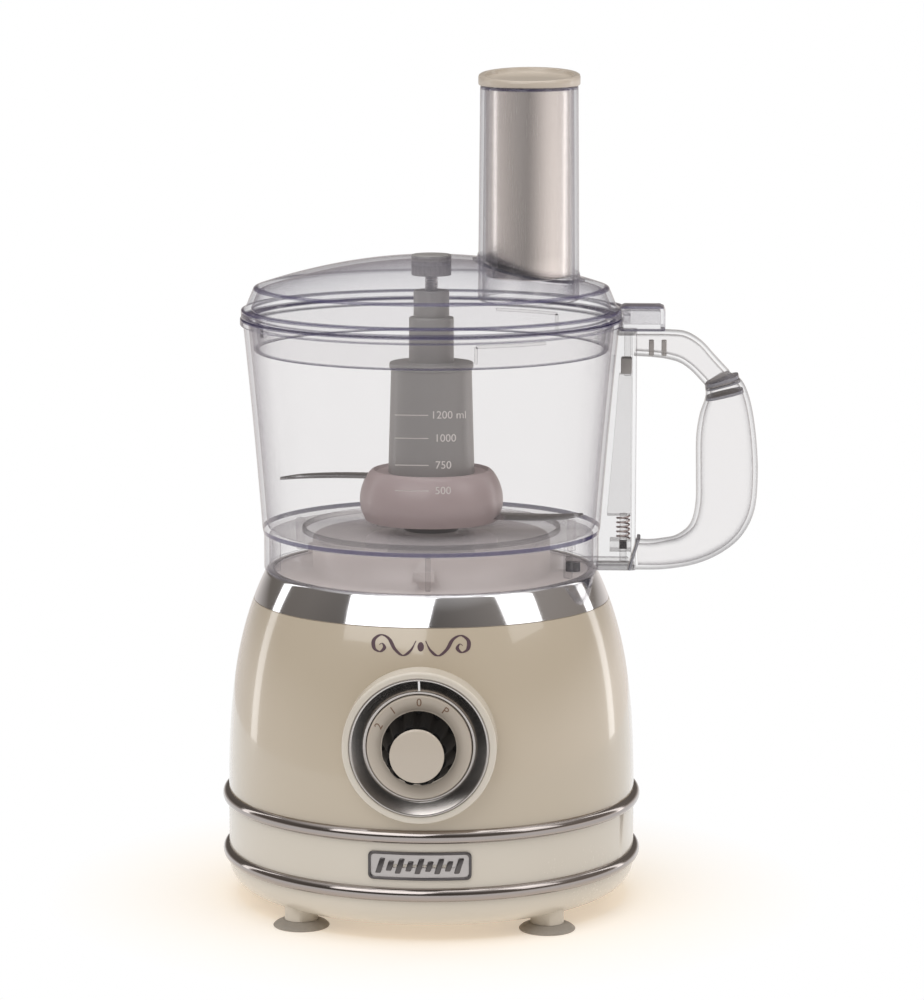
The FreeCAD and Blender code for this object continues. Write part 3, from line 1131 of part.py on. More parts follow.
# ---------------------------------------------------------------- blade
def blade_column():
    """Grey spindle over the bowl's chimney, stepped in towards the lid."""
    z0 = BOWL_FLOOR_Z + 2.2
    room_foot, room_top = SPINDLE_FOOT_RADIUS - 2.2, SPINDLE_TOP_RADIUS - 2.2
    ceiling = SPINDLE_TOP_Z - 2.5
    return turn([(room_foot, z0), (SPINDLE_FOOT_RADIUS, z0), (SPINDLE_FOOT_RADIUS, DRUM_TOP_Z + 1),
                 (SPINDLE_TOP_RADIUS, SPINDLE_TOP_Z - 3), (SPINDLE_TOP_RADIUS + 0.8, SPINDLE_TOP_Z - 2.6),
                 (SPINDLE_TOP_RADIUS + 0.8, SPINDLE_TOP_Z - 0.6), (SPINDLE_TOP_RADIUS - 0.2, SPINDLE_TOP_Z),
                 (NECK_LOW_RADIUS, SPINDLE_TOP_Z), (NECK_LOW_RADIUS, NECK_SHOULDER_Z - 0.8),
                 (NECK_LOW_RADIUS - 0.8, NECK_SHOULDER_Z), (NECK_TOP_RADIUS, NECK_SHOULDER_Z),
                 (NECK_TOP_RADIUS, SPINDLE_END_Z - 0.8), (NECK_TOP_RADIUS - 0.8, SPINDLE_END_Z),
                 (TIP_PIN_RADIUS + SEAT, SPINDLE_END_Z), (TIP_PIN_RADIUS + SEAT, SPINDLE_END_Z - 14),
                 (0, SPINDLE_END_Z - 14), (0, ceiling), (room_top, ceiling)])


def drive_insert():
    """Insert in the spindle with a six-sided socket for the output shaft."""
    z0, z1 = CHIMNEY_TOP_Z + 2 * SLIP + 2.0, SPINDLE_TOP_Z - 2.5 - SEAT
    corners = [polar((SHAFT_HEX + 0.6) / math.sqrt(3), 60 * i + 30, z0 - 1) for i in range(7)]
    socket = Part.Face(Part.makePolygon(corners)).extrude(V(0, 0, SHAFT_TOP_Z + 0.6 - z0 + 1))
    return cylinder(SPINDLE_TOP_RADIUS - 2.2 - SEAT, z0, z1).cut(socket)


def spindle_pin():
    """Steel pin from the spindle's tip up into the lid's bush."""
    return cylinder(TIP_PIN_RADIUS, SPINDLE_END_Z - 14 + SEAT, DOME_TOP_Z - 4.0)


def blade(z, angle, lift, gap=0.0):
    """Curved steel blade: sickle in plan, lying nearly flat; lift is its rise towards the tip.

    With a gap it is the room that the blade needs in its hub.
    """
    root, reach = SPINDLE_FOOT_RADIUS + 0.6, BLADE_REACH
    a = V(root - 0.2, -7.5, 0)
    b = V(reach * 0.66, -15.5, 0)
    c = V(reach * 0.985, 1.0, 0)
    d = V(reach * 0.62, -0.5, 0)
    e = V(root - 0.2, 8.0, 0)
    edges = [Part.Arc(a, b, c).toShape(), Part.Arc(c, d, e).toShape(), Part.LineSegment(e, a).toShape()]
    wire = Part.Wire(edges)
    if gap > 0:
        wire = wire.makeOffset2D(gap)
    plate = Part.Face(wire).extrude(V(0, 0, BLADE_THICKNESS + 2 * gap))
    plate.translate(V(0, 0, -gap))
    plate.rotate(V(root, 0, 0), V(0, 1, 0), -lift)
    plate = plate.cut(cylinder(SPINDLE_FOOT_RADIUS + SEAT, -30, 30))
    plate.translate(V(0, 0, z))
    return spun(plate, angle)


def blade_drum(blades):
    """Barrel-shaped hub round the spindle's foot that holds the blades."""
    r0, r1 = DRUM_RADIUS - 3.3, DRUM_RADIUS - 6.5
    mid = (DRUM_Z + DRUM_TOP_Z) / 2 - 1
    bore = SPINDLE_FOOT_RADIUS + SEAT
    body = turn([(bore, DRUM_Z), (r0, DRUM_Z), (r1 + 1.5, DRUM_TOP_Z, DRUM_RADIUS, mid), (r1, DRUM_TOP_Z + 0.2),
                 (r1 - 2.0, DRUM_TOP_Z - 1.0), (bore, DRUM_TOP_Z - 1.0)])
    return body.cut(Part.makeCompound(blades))


# ---------------------------------------------------------------- write the pieces
save("lower_housing", lower_housing())
save("upper_housing", upper_housing())
save("collar_ring", collar_ring())
save("trim_ring_lower", trim_ring(LOW_TRIM_Z))
save("trim_ring_upper", trim_ring(SPLIT_Z))
save("foot_pads", *foot_pads())
save("badge_plate", badge_plate())
save("cord_grommet", cord_grommet())
save("top_deck", top_deck())
save("dial_bezel", dial_bezel())
save("dial_dish", dial_dish())
save("dial_skirt", dial_skirt())
save("knob_grip", knob_grip())
save("knob_cap", knob_cap())
save("dial_shaft", dial_shaft())
save("rotary_switch", rotary_switch())

save("chassis_plate", chassis_plate())
save("chassis_screws", *chassis_screws())
save("housing_screws", *housing_screws())
save("drive_gear", drive_gear())
save("drive_shaft", drive_shaft())
save("gear_bearing", *bearing(ORIGIN, GEAR_BEARING_Z, SHAFT_RADIUS + SEAT, BEARING_6000))
save("shaft_bushes", *shaft_bushes())
save("shaft_seal", shaft_seal())
save("pinion", pinion())
save("motor_shaft", motor_shaft())
save("motor_bearing_upper", *bearing(MOTOR_AXIS, MOTOR_BEARING_Z, ROTOR_SHAFT_RADIUS + SEAT, BEARING_608))
save("motor_bearing_lower", *bearing(MOTOR_AXIS, LOW_BEARING_Z, ROTOR_SHAFT_RADIUS + SEAT, BEARING_608))
save("stator_core", stator_core())
save("stator_coils", *stator_coils())
save("armature_core", armature_core())
save("armature_windings", *armature_windings())
save("commutator", commutator())
save("cooling_fan", cooling_fan())
save("motor_bracket", motor_bracket())
BRUSH_HOLDERS, BRUSHES = brush_parts()
save("brush_holders", *BRUSH_HOLDERS)
save("carbon_brushes", *BRUSHES)
save("motor_screws", *motor_screws())
save("suppressor_capacitor", suppressor_capacitor())

save("interlock_button", interlock_button())
save("button_spring", coil_spring(V(BUTTON_X, 0, 0), SWITCH_TOP_Z, BUTTON_FLANGE_Z - SWITCH_TOP_Z, 4, 3.4,
                                  0.4))
save("safety_switch", safety_switch())

save("bowl", bowl())
save("handle_grip", handle_grip())
save("rod_seat", rod_seat())
save("interlock_rod", interlock_rod())
save("rod_spring", coil_spring(V(PIN_X - 1.6, 0, 0), SEAT_TOP_Z, SPRING_LENGTH, SPRING_TURNS, SPRING_RADIUS,
                               SPRING_WIRE))
save("bowl_sleeve", bowl_sleeve())

save("lid", lid())
save("lid_bush", lid_bush())
save("pusher_sleeve", pusher_sleeve())
save("pusher_cap", pusher_cap())

save("blade_column", blade_column())
save("drive_insert", drive_insert())
save("spindle_pin", spindle_pin())
save("upper_blade", blade(UPPER_BLADE_Z, 180.0, BLADE_LIFT))
save("lower_blade", blade(LOWER_BLADE_Z, 0.0, 0.0))
save("blade_drum", blade_drum([blade(UPPER_BLADE_Z, 180.0, BLADE_LIFT, SEAT),
                               blade(LOWER_BLADE_Z, 0.0, 0.0, SEAT)]))
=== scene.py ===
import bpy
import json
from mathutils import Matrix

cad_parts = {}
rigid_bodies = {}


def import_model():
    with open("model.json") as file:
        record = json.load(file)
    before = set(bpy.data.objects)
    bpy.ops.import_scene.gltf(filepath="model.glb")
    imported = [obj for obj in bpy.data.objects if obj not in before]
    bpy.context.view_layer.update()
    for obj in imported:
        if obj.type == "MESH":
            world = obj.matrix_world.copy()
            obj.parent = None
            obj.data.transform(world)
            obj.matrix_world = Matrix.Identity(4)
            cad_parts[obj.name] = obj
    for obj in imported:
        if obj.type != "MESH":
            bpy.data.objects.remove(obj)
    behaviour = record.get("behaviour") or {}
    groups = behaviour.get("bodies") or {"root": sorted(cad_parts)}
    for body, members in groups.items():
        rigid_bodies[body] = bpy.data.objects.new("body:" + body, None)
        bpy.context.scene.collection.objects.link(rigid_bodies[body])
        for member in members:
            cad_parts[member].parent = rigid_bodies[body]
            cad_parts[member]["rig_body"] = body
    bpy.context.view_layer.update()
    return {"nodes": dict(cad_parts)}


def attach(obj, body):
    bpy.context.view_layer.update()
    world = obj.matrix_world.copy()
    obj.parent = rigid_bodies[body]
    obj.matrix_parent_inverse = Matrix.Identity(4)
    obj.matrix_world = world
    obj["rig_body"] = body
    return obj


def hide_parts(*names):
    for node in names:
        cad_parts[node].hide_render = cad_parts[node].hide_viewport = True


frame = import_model()

"""Looks of a counter-top food processor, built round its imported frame.

Sizes in the classes are millimetres in the frame's own axes: +Z up on the drive axis, -Y out through
the dial, +X towards the handle. Meshes are made in metres, with their place in their points.
"""

import json
import logging
import math
from dataclasses import dataclass, field
from enum import Enum
from typing import Any, Callable, Sequence

import bmesh
import bpy
import numpy as np
from mathutils import Vector

log = logging.getLogger("food_processor")
MM = 0.001
TINY = 1e-9
MOST_OF_SIDE = 0.48
FINE_TURN = 192
Points = np.ndarray


# ------------------------------------------------------------------ profiles and surfaces
def eased(corners: Sequence[tuple[float, float, float]], closed: bool = True, steps: int = 5) -> Points:
    """Rounds the corners of a profile.

    Each corner P with a setback d becomes the curve (1-t)^2 A + 2t(1-t) P + t^2 B, where A and B lie d
    before and after it. The setback never takes more than 0.48 of a side.

    Args:
        corners: (first coordinate, second coordinate, setback) for each corner, in order.
        closed: Whether the last corner joins the first.
        steps: Number of spans along a rounded corner.
    Returns:
        The profile's points, shape (n, 2).
    """
    data = np.array(corners, float)
    xy, setback = data[:, :2], data[:, 2].copy()
    before, after = np.roll(xy, 1, 0) - xy, np.roll(xy, -1, 0) - xy
    len_b = np.maximum(np.linalg.norm(before, axis=1), TINY)
    len_a = np.maximum(np.linalg.norm(after, axis=1), TINY)
    if not closed:
        setback[[0, -1]] = 0.0
    reach = np.minimum(setback, MOST_OF_SIDE * np.minimum(len_a, len_b))[:, None]
    start, end = xy + before / len_b[:, None] * reach, xy + after / len_a[:, None] * reach
    t = np.linspace(0, 1, steps + 1)[None, :, None]
    curve = (1 - t) ** 2 * start[:, None] + 2 * t * (1 - t) * xy[:, None] + t ** 2 * end[:, None]
    keep = np.ones(curve.shape[:2], bool)
    keep[reach[:, 0] < 1e-6, 1:] = False
    return curve[keep]


def smooth_curve(knots: Sequence[Sequence[float]], count: int) -> Points:
    """A smooth curve through knots: cubic spans whose end slopes are half the chord of their neighbours.

    Args:
        knots: Points of any dimension.
        count: Number of points wanted, evenly spread over the knots' index.
    Returns:
        The curve, shape (count, dimension).
    """
    p = np.array(knots, float)
    slope = np.gradient(p, axis=0)
    u = np.linspace(0, len(p) - 1, count)
    i = np.minimum(u.astype(int), len(p) - 2)
    t = (u - i)[:, None]
    return ((1 + 2 * t) * (1 - t) ** 2 * p[i] + t * (1 - t) ** 2 * slope[i]
            + t ** 2 * (3 - 2 * t) * p[i + 1] + t ** 2 * (t - 1) * slope[i + 1])


def subdivided(profile: Points, longest: float) -> Points:
    """Splits a profile's long sides so that none is longer than a length; the profile is closed."""
    nxt = np.roll(profile, -1, 0)
    pieces = np.maximum(np.ceil(np.linalg.norm(nxt - profile, axis=1) / longest).astype(int), 1)
    index = np.repeat(np.arange(len(profile)), pieces)
    first = np.repeat(np.cumsum(pieces) - pieces, pieces)
    t = ((np.arange(len(index)) - first) / pieces[index])[:, None]
    return profile[index] * (1 - t) + nxt[index] * t


def rectangle(x0: float, x1: float, y0: float, y1: float, corner: float, steps: int = 3) -> Points:
    """A rectangle's outline with rounded corners."""
    return eased([(x0, y0, corner), (x1, y0, corner), (x1, y1, corner), (x0, y1, corner)], steps=steps)


def full_turn(count: int) -> Points:
    """Angles in radians, evenly spread over one turn."""
    return np.linspace(0, 2 * np.pi, count, endpoint=False)


def at_level(outline: Points, z: float) -> Points:
    """A flat outline as points at one level."""
    return np.column_stack([outline, np.full(len(outline), z)])


@dataclass
class Surface:
    """Points and quads of one surface, in millimetres."""
    points: Points
    quads: Points

    def __add__(self, other: "Surface") -> "Surface":
        """Both surfaces as one."""
        return Surface(np.vstack([self.points, other.points]),
                       np.vstack([self.quads, other.quads + len(self.points)]))

    def moved(self, x: float = 0.0, y: float = 0.0, z: float = 0.0) -> "Surface":
        """The surface moved."""
        return Surface(self.points + np.array([x, y, z]), self.quads)

    def turned(self, degrees: float) -> "Surface":
        """The surface turned about the drive axis."""
        c, s = math.cos(math.radians(degrees)), math.sin(math.radians(degrees))
        return Surface(self.points @ np.array([[c, s, 0], [-s, c, 0], [0, 0, 1.0]]), self.quads)

    def on_dial(self, level: float) -> "Surface":
        """A surface made about +Z laid on the dial's axis, which runs along -Y at a level."""
        x, y, z = self.points.T
        return Surface(np.stack([x, -z, y + level], axis=1), self.quads)


def joined(surfaces: Sequence[Surface]) -> Surface:
    """Several surfaces as one, in their order."""
    whole = surfaces[0]
    for surface in surfaces[1:]:
        whole = whole + surface
    return whole


def skin(rings: Points, ends_meet: bool = False) -> Surface:
    """Quads between neighbouring closed rings, shape (rows, cols, 3).

    Args:
        rings: The rings' points, row by row.
        ends_meet: Whether the last ring joins the first.
    Returns:
        The surface, open at its ends unless they meet.
    """
    rows, cols = rings.shape[:2]
    r = np.arange(rows if ends_meet else rows - 1)[:, None]
    c = np.arange(cols)[None, :]
    r2, c2 = (r + 1) % rows, (c + 1) % cols
    quads = np.stack([r * cols + c, r * cols + c2, r2 * cols + c2, r2 * cols + c], axis=-1)
    return Surface(rings.reshape(-1, 3), quads.reshape(-1, 4))


def loft(rings: Sequence[Points]) -> Surface:
    """Skins a stack of rings and closes both ends with rings that shrink to a point."""
    stack = np.asarray(rings)
    ends = []
    for ring in (stack[0], stack[-1]):
        mid = ring.mean(axis=0, keepdims=True)
        ends.append(np.stack([ring + (mid - ring) * f for f in (0.35, 0.7, 1.0)]))
    return skin(np.concatenate([ends[0][::-1], stack, ends[1]]))


def swept(a: Points, radius: Points, height: Points) -> Points:
    """The points (r cos a, r sin a, h) of a profile at each angle; the radius may change with the angle."""
    level = np.broadcast_to(height, (len(a), len(height)))
    return np.stack([radius * np.cos(a)[:, None], radius * np.sin(a)[:, None], level], axis=-1)


def revolve(profile: Points, segments: int = 160, start: float = 0.0, end: float = 360.0) -> Surface:
    """Turns a closed (radius, height) profile about Z: x = r cos a, y = r sin a, z = h.

    Args:
        profile: Closed profile, shape (n, 2).
        segments: Spans round the turn.
        start: First angle in degrees.
        end: Last angle in degrees; a full turn is joined up.
    Returns:
        The turned surface; a part turn is left open at its two ends.
    """
    full = end - start == 360.0
    a = np.radians(np.linspace(start, end, segments + 1))
    a = a[:-1] if full else a
    return skin(swept(a, profile[None, :, 0], profile[:, 1]), full)


def superellipse(count: int, power: float) -> Points:
    """A rounded square of half width 1: each coordinate is sign(c) |c|^(2/power) of a circle's."""
    wave = np.stack([np.cos(full_turn(count)), np.sin(full_turn(count))], axis=1)
    return np.sign(wave) * np.abs(wave) ** (2 / power)


def limb(inner: Points, outer: Points, half_depth: Points, cols: int = 32, power: float = 3.0) -> Surface:
    """A limb between two edge lines in the XZ plane, with a rounded-square section.

    A point is the middle of the two edges plus c times half their difference, plus s times the half
    depth along Y, where (c, s) runs round the section.

    Args:
        inner: Inner edge line, shape (n, 2), as (x, z).
        outer: Outer edge line, shape (n, 2).
        half_depth: Half depth along Y at each point of the lines.
        cols: Points round the section.
        power: Squareness of the section.
    Returns:
        The limb, closed at its ends.
    """
    c, s = superellipse(cols, power).T
    mid, half = (inner + outer) / 2, (outer - inner) / 2
    xz = mid[:, None, :] + c[None, :, None] * half[:, None, :]
    y = np.broadcast_to(s[None, :] * half_depth[:, None], xz.shape[:2])
    return loft(np.stack([xz[..., 0], y, xz[..., 1]], axis=-1))


def slab(low: Sequence[float], high: Sequence[float], round_by: float = 0.5) -> Surface:
    """A box with eased edges: a stack of rounded rectangles that shrink at the bottom and the top."""
    (x0, y0, z0), (x1, y1, z1) = low, high
    r = min(round_by, 0.45 * min(x1 - x0, y1 - y0, z1 - z0))
    part = 0.3 * r
    rows = []
    for inset, z in ((r, z0), (part, z0 + part), (0, z0 + r), (0, z1 - r), (part, z1 - part), (r, z1)):
        rows.append(at_level(rectangle(x0 + inset, x1 - inset, y0 + inset, y1 - inset, r), z))
    return loft(rows)


def linked(name: str, mesh: bpy.types.Mesh, smooth_angle: float) -> bpy.types.Object:
    """Puts a mesh in the scene at the origin, smooth but for edges bent by more than an angle in degrees."""
    mesh.shade_smooth()
    mesh.set_sharp_from_angle(angle=math.radians(smooth_angle))
    piece = bpy.data.objects.new(name, mesh)
    bpy.context.scene.collection.objects.link(piece)
    return piece


def mesh_piece(name: str, surface: Surface, smooth_angle: float = 40.0,
               hollow: Surface | None = None) -> bpy.types.Object:
    """Makes an object from a surface, welded, with its faces outwards and its soft edges smooth.

    Args:
        name: The piece's name.
        surface: Its points and quads in millimetres.
        smooth_angle: Edges bent by more than this many degrees stay sharp.
        hollow: The face of a closed hollow inside it, whose faces are turned round.
    Returns:
        The new object, at the origin.
    """
    mesh = bpy.data.meshes.new(name)
    work = bmesh.new()
    for side, reverse in ((surface, False), (hollow, True)):
        if side is None:
            continue
        part = bpy.data.meshes.new(name)
        part.from_pydata(side.points * MM, [], side.quads.tolist())
        layer = bmesh.new()
        layer.from_mesh(part)
        bmesh.ops.remove_doubles(layer, verts=layer.verts, dist=1e-6)
        bmesh.ops.dissolve_degenerate(layer, dist=1e-7, edges=layer.edges)
        bmesh.ops.delete(layer, geom=[v for v in layer.verts if not v.link_faces], context="VERTS")
        bmesh.ops.recalc_face_normals(layer, faces=layer.faces)
        if reverse:
            bmesh.ops.reverse_faces(layer, faces=layer.faces)
        layer.to_mesh(part)
        layer.free()
        work.from_mesh(part)
        bpy.data.meshes.remove(part)
    work.to_mesh(mesh)
    work.free()
    return linked(name, mesh, smooth_angle)


def welded_copy(node: str, name: str, smooth_angle: float = 30.0) -> bpy.types.Object:
    """A copy of a CAD node with its loose triangles welded and its soft edges smooth."""
    mesh = frame["nodes"][node].data.copy()
    mesh.materials.clear()
    work = bmesh.new()
    work.from_mesh(mesh)
    bmesh.ops.remove_doubles(work, verts=work.verts, dist=2e-6)
    work.to_mesh(mesh)
    work.free()
    return linked(name, mesh, smooth_angle)


# ------------------------------------------------------------------ shader graphs
class Value:
    """A number that changes over a surface; sums and products of it add Math nodes."""

    def __init__(self, graph: "Graph", socket: bpy.types.NodeSocket) -> None:
        """Keeps the graph and the socket that gives the number."""
        self.graph, self.socket = graph, socket

    def _math(self, operation: str, *others: Any, clamp: bool = False) -> "Value":
        """One Math node on this value and others."""
        args = {i: o for i, o in enumerate((self, *others))}
        return self.graph.node("ShaderNodeMath", dict(operation=operation, use_clamp=clamp), args)[0]

    def _from(self, operation: str, left: Any) -> "Value":
        """One Math node with this value on the right."""
        return self.graph.node("ShaderNodeMath", dict(operation=operation), {0: left, 1: self})[0]

    def __add__(self, other: Any) -> "Value":
        """Sum."""
        return self._math("ADD", other)

    __radd__ = __add__

    def __sub__(self, other: Any) -> "Value":
        """Difference."""
        return self._math("SUBTRACT", other)

    def __rsub__(self, other: Any) -> "Value":
        """Difference with this on the right."""
        return self._from("SUBTRACT", other)

    def __mul__(self, other: Any) -> "Value":
        """Product."""
        return self._math("MULTIPLY", other)

    __rmul__ = __mul__

    def __truediv__(self, other: Any) -> "Value":
        """Quotient."""
        return self._math("DIVIDE", other)

    def __pow__(self, other: Any) -> "Value":
        """Power."""
        return self._math("POWER", other)

    def clamped(self) -> "Value":
        """Held between 0 and 1."""
        return self._math("ADD", 0.0, clamp=True)

    def band(self, low: float, high: float, soft: float) -> "Value":
        """1 between two limits, falling to 0 over a soft edge outside them."""
        rise = ((self - (low - soft)) / soft).clamped()
        fall = (((high + soft) - self) / soft).clamped()
        return rise * fall


class Graph:
    """A material's node tree, built through a few plain calls.

    Sockets that share a name with another socket of their node go by their number, named here.
    """
    OBJECT_PLACE = 3
    GENERATED_PLACE = 0
    TURN_AWAY = 1
    MIX_SHARE, MIX_FIRST, MIX_SECOND, MIX_COLOUR = 0, 6, 7, 2
    SHADER_SHARE, SHADER_FIRST, SHADER_SECOND = 0, 1, 2

    def __init__(self, name: str, world: bpy.types.World | None = None) -> None:
        """Starts an empty material, or empties a world's nodes."""
        self.material = world or bpy.data.materials.new(name)
        self.material.use_nodes = True
        self.tree = self.material.node_tree
        self.tree.nodes.clear()
        self.output = self.tree.nodes.new("ShaderNodeOutputWorld" if world else "ShaderNodeOutputMaterial")

    def node(self, kind: str, settings: dict[str, Any], inputs: dict[Any, Any]) -> list[Value]:
        """Adds any node.

        Args:
            kind: Blender's node type.
            settings: Attributes set before the sockets, such as an operation.
            inputs: Socket name or index to a number, a tuple or a Value.
        Returns:
            The node's outputs, in order.
        """
        made = self.tree.nodes.new(kind)
        for key, value in settings.items():
            if key == "stops":
                self._set_stops(made.color_ramp, value)
            else:
                setattr(made, key, value)
        for key, value in inputs.items():
            if isinstance(value, Value):
                self.tree.links.new(value.socket, made.inputs[key])
            else:
                made.inputs[key].default_value = value
        return [Value(self, s) for s in made.outputs]

    @staticmethod
    def _set_stops(ramp: bpy.types.ColorRamp, stops: Sequence[tuple[float, tuple]]) -> None:
        """Gives a ramp its stops."""
        while len(ramp.elements) < len(stops):
            ramp.elements.new(0.5)
        for element, (place, colour) in zip(ramp.elements, stops):
            element.position, element.color = place, colour

    def place(self) -> Value:
        """The point on the piece, in metres."""
        return self.node("ShaderNodeTexCoord", {}, {})[self.OBJECT_PLACE]

    def axes(self) -> tuple[Value, Value, Value]:
        """The point's x, y and z in millimetres."""
        x, y, z = self.node("ShaderNodeSeparateXYZ", {}, {0: self.place()})
        return x * 1000.0, y * 1000.0, z * 1000.0

    def noise(self, scale: float | tuple[float, float, float], detail: float = 2.0,
              rough: float = 0.5) -> Value:
        """Cloudy noise from 0 to 1; the scale is cycles per metre, one number or one per axis."""
        stretch = scale if isinstance(scale, tuple) else (scale,) * 3
        at = self.node("ShaderNodeMapping", {}, {"Vector": self.place(), "Scale": stretch})[0]
        return self.node("ShaderNodeTexNoise", {}, {"Vector": at, "Scale": 1.0, "Detail": detail,
                                                    "Roughness": rough})[0]

    def mix(self, share: Value | float, first: Any, second: Any) -> Value:
        """Mixes two colours."""
        sockets = {self.MIX_SHARE: share, self.MIX_FIRST: first, self.MIX_SECOND: second}
        return self.node("ShaderNodeMix", dict(data_type="RGBA"), sockets)[self.MIX_COLOUR]

    def shader_mix(self, share: Value, first: Value, second: Value) -> Value:
        """Mixes two shaders."""
        sockets = {self.SHADER_SHARE: share, self.SHADER_FIRST: first, self.SHADER_SECOND: second}
        return self.node("ShaderNodeMixShader", {}, sockets)[0]

    def bump(self, height: Value, distance: float, strength: float = 1.0) -> Value:
        """A bumped normal; the distance is in metres."""
        return self.node("ShaderNodeBump", {}, {"Height": height, "Distance": distance,
                                                "Strength": strength})[0]

    def facing(self) -> Value:
        """0 where the surface faces the eye, rising to 1 where it turns away."""
        return self.node("ShaderNodeLayerWeight", {}, {"Blend": 0.5})[self.TURN_AWAY]

    def principled(self, inputs: dict[str, Any]) -> Value:
        """A principled shader."""
        return self.node("ShaderNodeBsdfPrincipled", {}, inputs)[0]

    def finish(self, shader: Value) -> bpy.types.Material:
        """Sends a shader to the output."""
        self.tree.links.new(shader.socket, self.output.inputs[0])
        return self.material


Colour = tuple[float, float, float, float]


def srgb(red: int, green: int, blue: int) -> Colour:
    """A linear colour from 8-bit sRGB values."""
    c = np.array([red, green, blue]) / 255.0
    lin = np.where(c <= 0.04045, c / 12.92, ((c + 0.055) / 1.055) ** 2.4)
    return (float(lin[0]), float(lin[1]), float(lin[2]), 1.0)


def scaled(colour: Colour, factor: float, lift: float = 0.0) -> Colour:
    """A colour with its three parts multiplied, then lifted, and held to at most 1."""
    red, green, blue = (min(1.0, part * factor + lift) for part in colour[:3])
    return (red, green, blue, 1.0)


# ------------------------------------------------------------------ finishes
@dataclass(frozen=True)
class GlossShell:
    """Moulded or lacquered plastic with a clear top: faint cloudiness, soft orange peel, fine dust."""
    name: str
    colour: Colour
    shade: Colour
    roughness: float = 0.22
    coat: float = 0.6
    peel: float = 0.00002

    def make(self) -> bpy.types.Material:
        """The material."""
        g = Graph(self.name)
        cloud = g.noise(18.0, 3.0)
        speck = g.noise(900.0, 1.0)
        colour = g.mix(cloud * 0.5, self.colour, self.shade)
        rough = self.roughness + (cloud - 0.5) * 0.05 + (speck - 0.5) * 0.03
        bump = g.bump(g.noise(420.0, 1.0), self.peel, 0.35)
        return g.finish(g.principled({"Base Color": colour, "Roughness": rough, "IOR": 1.5,
                                      "Coat Weight": self.coat, "Coat Roughness": 0.04, "Normal": bump}))


@dataclass(frozen=True)
class ChromePlate:
    """Bright plating with the faintest haze and hand marks."""
    name: str
    colour: Colour = (0.80, 0.80, 0.82, 1.0)
    roughness: float = 0.05

    def make(self) -> bpy.types.Material:
        """The material."""
        g = Graph(self.name)
        haze = g.noise(35.0, 4.0, 0.6)
        rough = self.roughness + (haze - 0.4).clamped() * 0.10
        bump = g.bump(g.noise(60.0, 2.0), 0.00002, 0.2)
        return g.finish(g.principled({"Base Color": self.colour, "Metallic": 1.0, "Roughness": rough,
                                      "Normal": bump}))


@dataclass(frozen=True)
class ClearPlastic:
    """Thin clear plastic: nearly unseen face on, violet-blue and glossy where it turns away.

    Each painted edge line is (low, high, strength, inner radius): a dark line painted on the wall between two
    levels, standing for the shade that refraction gives at edges. The painted reflection floor is (low, high,
    radius): a disc between two levels that is kept light as a painted white reflection.
    """
    name: str
    face: float = 0.012
    edge: float = 0.85
    power: float = 7.0
    edge_colour: Colour = (0.075, 0.072, 0.115, 1.0)
    painted_edge_lines: tuple[tuple[float, float, float, float], ...] = ()
    tint: Colour = (0.972, 0.970, 0.970, 1.0)
    face_colour: Colour = (0.45, 0.45, 0.50, 1.0)
    painted_reflection_floor: tuple[float, float, float] | None = None
    reach: float = 200.0

    def make(self) -> bpy.types.Material:
        """The material: a see-through shader mixed with a glossy one by how far the wall turns away."""
        g = Graph(self.name)
        turn = g.facing()
        share = turn ** self.power * self.edge + self.face + g.noise(70.0, 3.0) * 0.01
        x, y, z = g.axes()
        out = (x * x + y * y) ** 0.5
        dark = (turn ** 2.0).clamped()
        # Painted dark edge lines: each band paints a dark line between two levels, for the shade that
        # refraction gives at the wall's edges.
        for low, high, strength, inner in self.painted_edge_lines:
            band = z.band(low, high, 0.35) * out.band(inner, self.reach, 0.4)
            share, dark = share + band * strength, dark + band
        # Painted reflection: the floor disc is kept light, a white reflection painted on the bowl's floor.
        if self.painted_reflection_floor:
            low, high, radius = self.painted_reflection_floor
            dark = dark * (1.0 - z.band(low, high, 0.3) * out.band(0.0, radius, 0.4))
        through = g.node("ShaderNodeBsdfTransparent", {}, {"Color": self.tint})[0]
        shine = g.principled({"Base Color": g.mix(dark.clamped(), self.face_colour, self.edge_colour),
                              "Roughness": 0.04 + g.noise(40.0) * 0.02, "IOR": 1.5, "Coat Weight": 0.5,
                              "Coat Roughness": 0.02})
        return g.finish(g.shader_mix(share.clamped(), through, shine))


class Grain(Enum):
    """Marks per metre along X, Y and Z that working leaves in a metal; the fewest lie along the lines."""
    UPRIGHT = (2600.0, 2600.0, 26.0)
    LEVEL = (300.0, 300.0, 2400.0)
    GROUND = (60.0, 2400.0, 60.0)
    TURNED = (60.0, 60.0, 3000.0)
    WOUND = (40.0, 40.0, 3000.0)
    STACKED = (30.0, 30.0, 2600.0)
    EVEN = (900.0, 900.0, 900.0)
    CAST = (700.0, 700.0, 700.0)


@dataclass(frozen=True)
class SatinMetal:
    """Worked metal, with fine lines in its roughness and relief."""
    name: str
    colour: Colour = (0.62, 0.62, 0.64, 1.0)
    roughness: float = 0.36
    grain: Grain = Grain.UPRIGHT
    lines: float = 1.0

    def make(self) -> bpy.types.Material:
        """The material."""
        g = Graph(self.name)
        line = g.noise(self.grain.value, 3.0, 0.6)
        colour = g.mix(line * (0.5 * self.lines), self.colour, scaled(self.colour, 0.8))
        return g.finish(g.principled({"Base Color": colour, "Metallic": 1.0,
                                      "Roughness": self.roughness + (line - 0.5) * (0.18 * self.lines),
                                      "Normal": g.bump(line, 0.00003, 0.25 * self.lines)}))


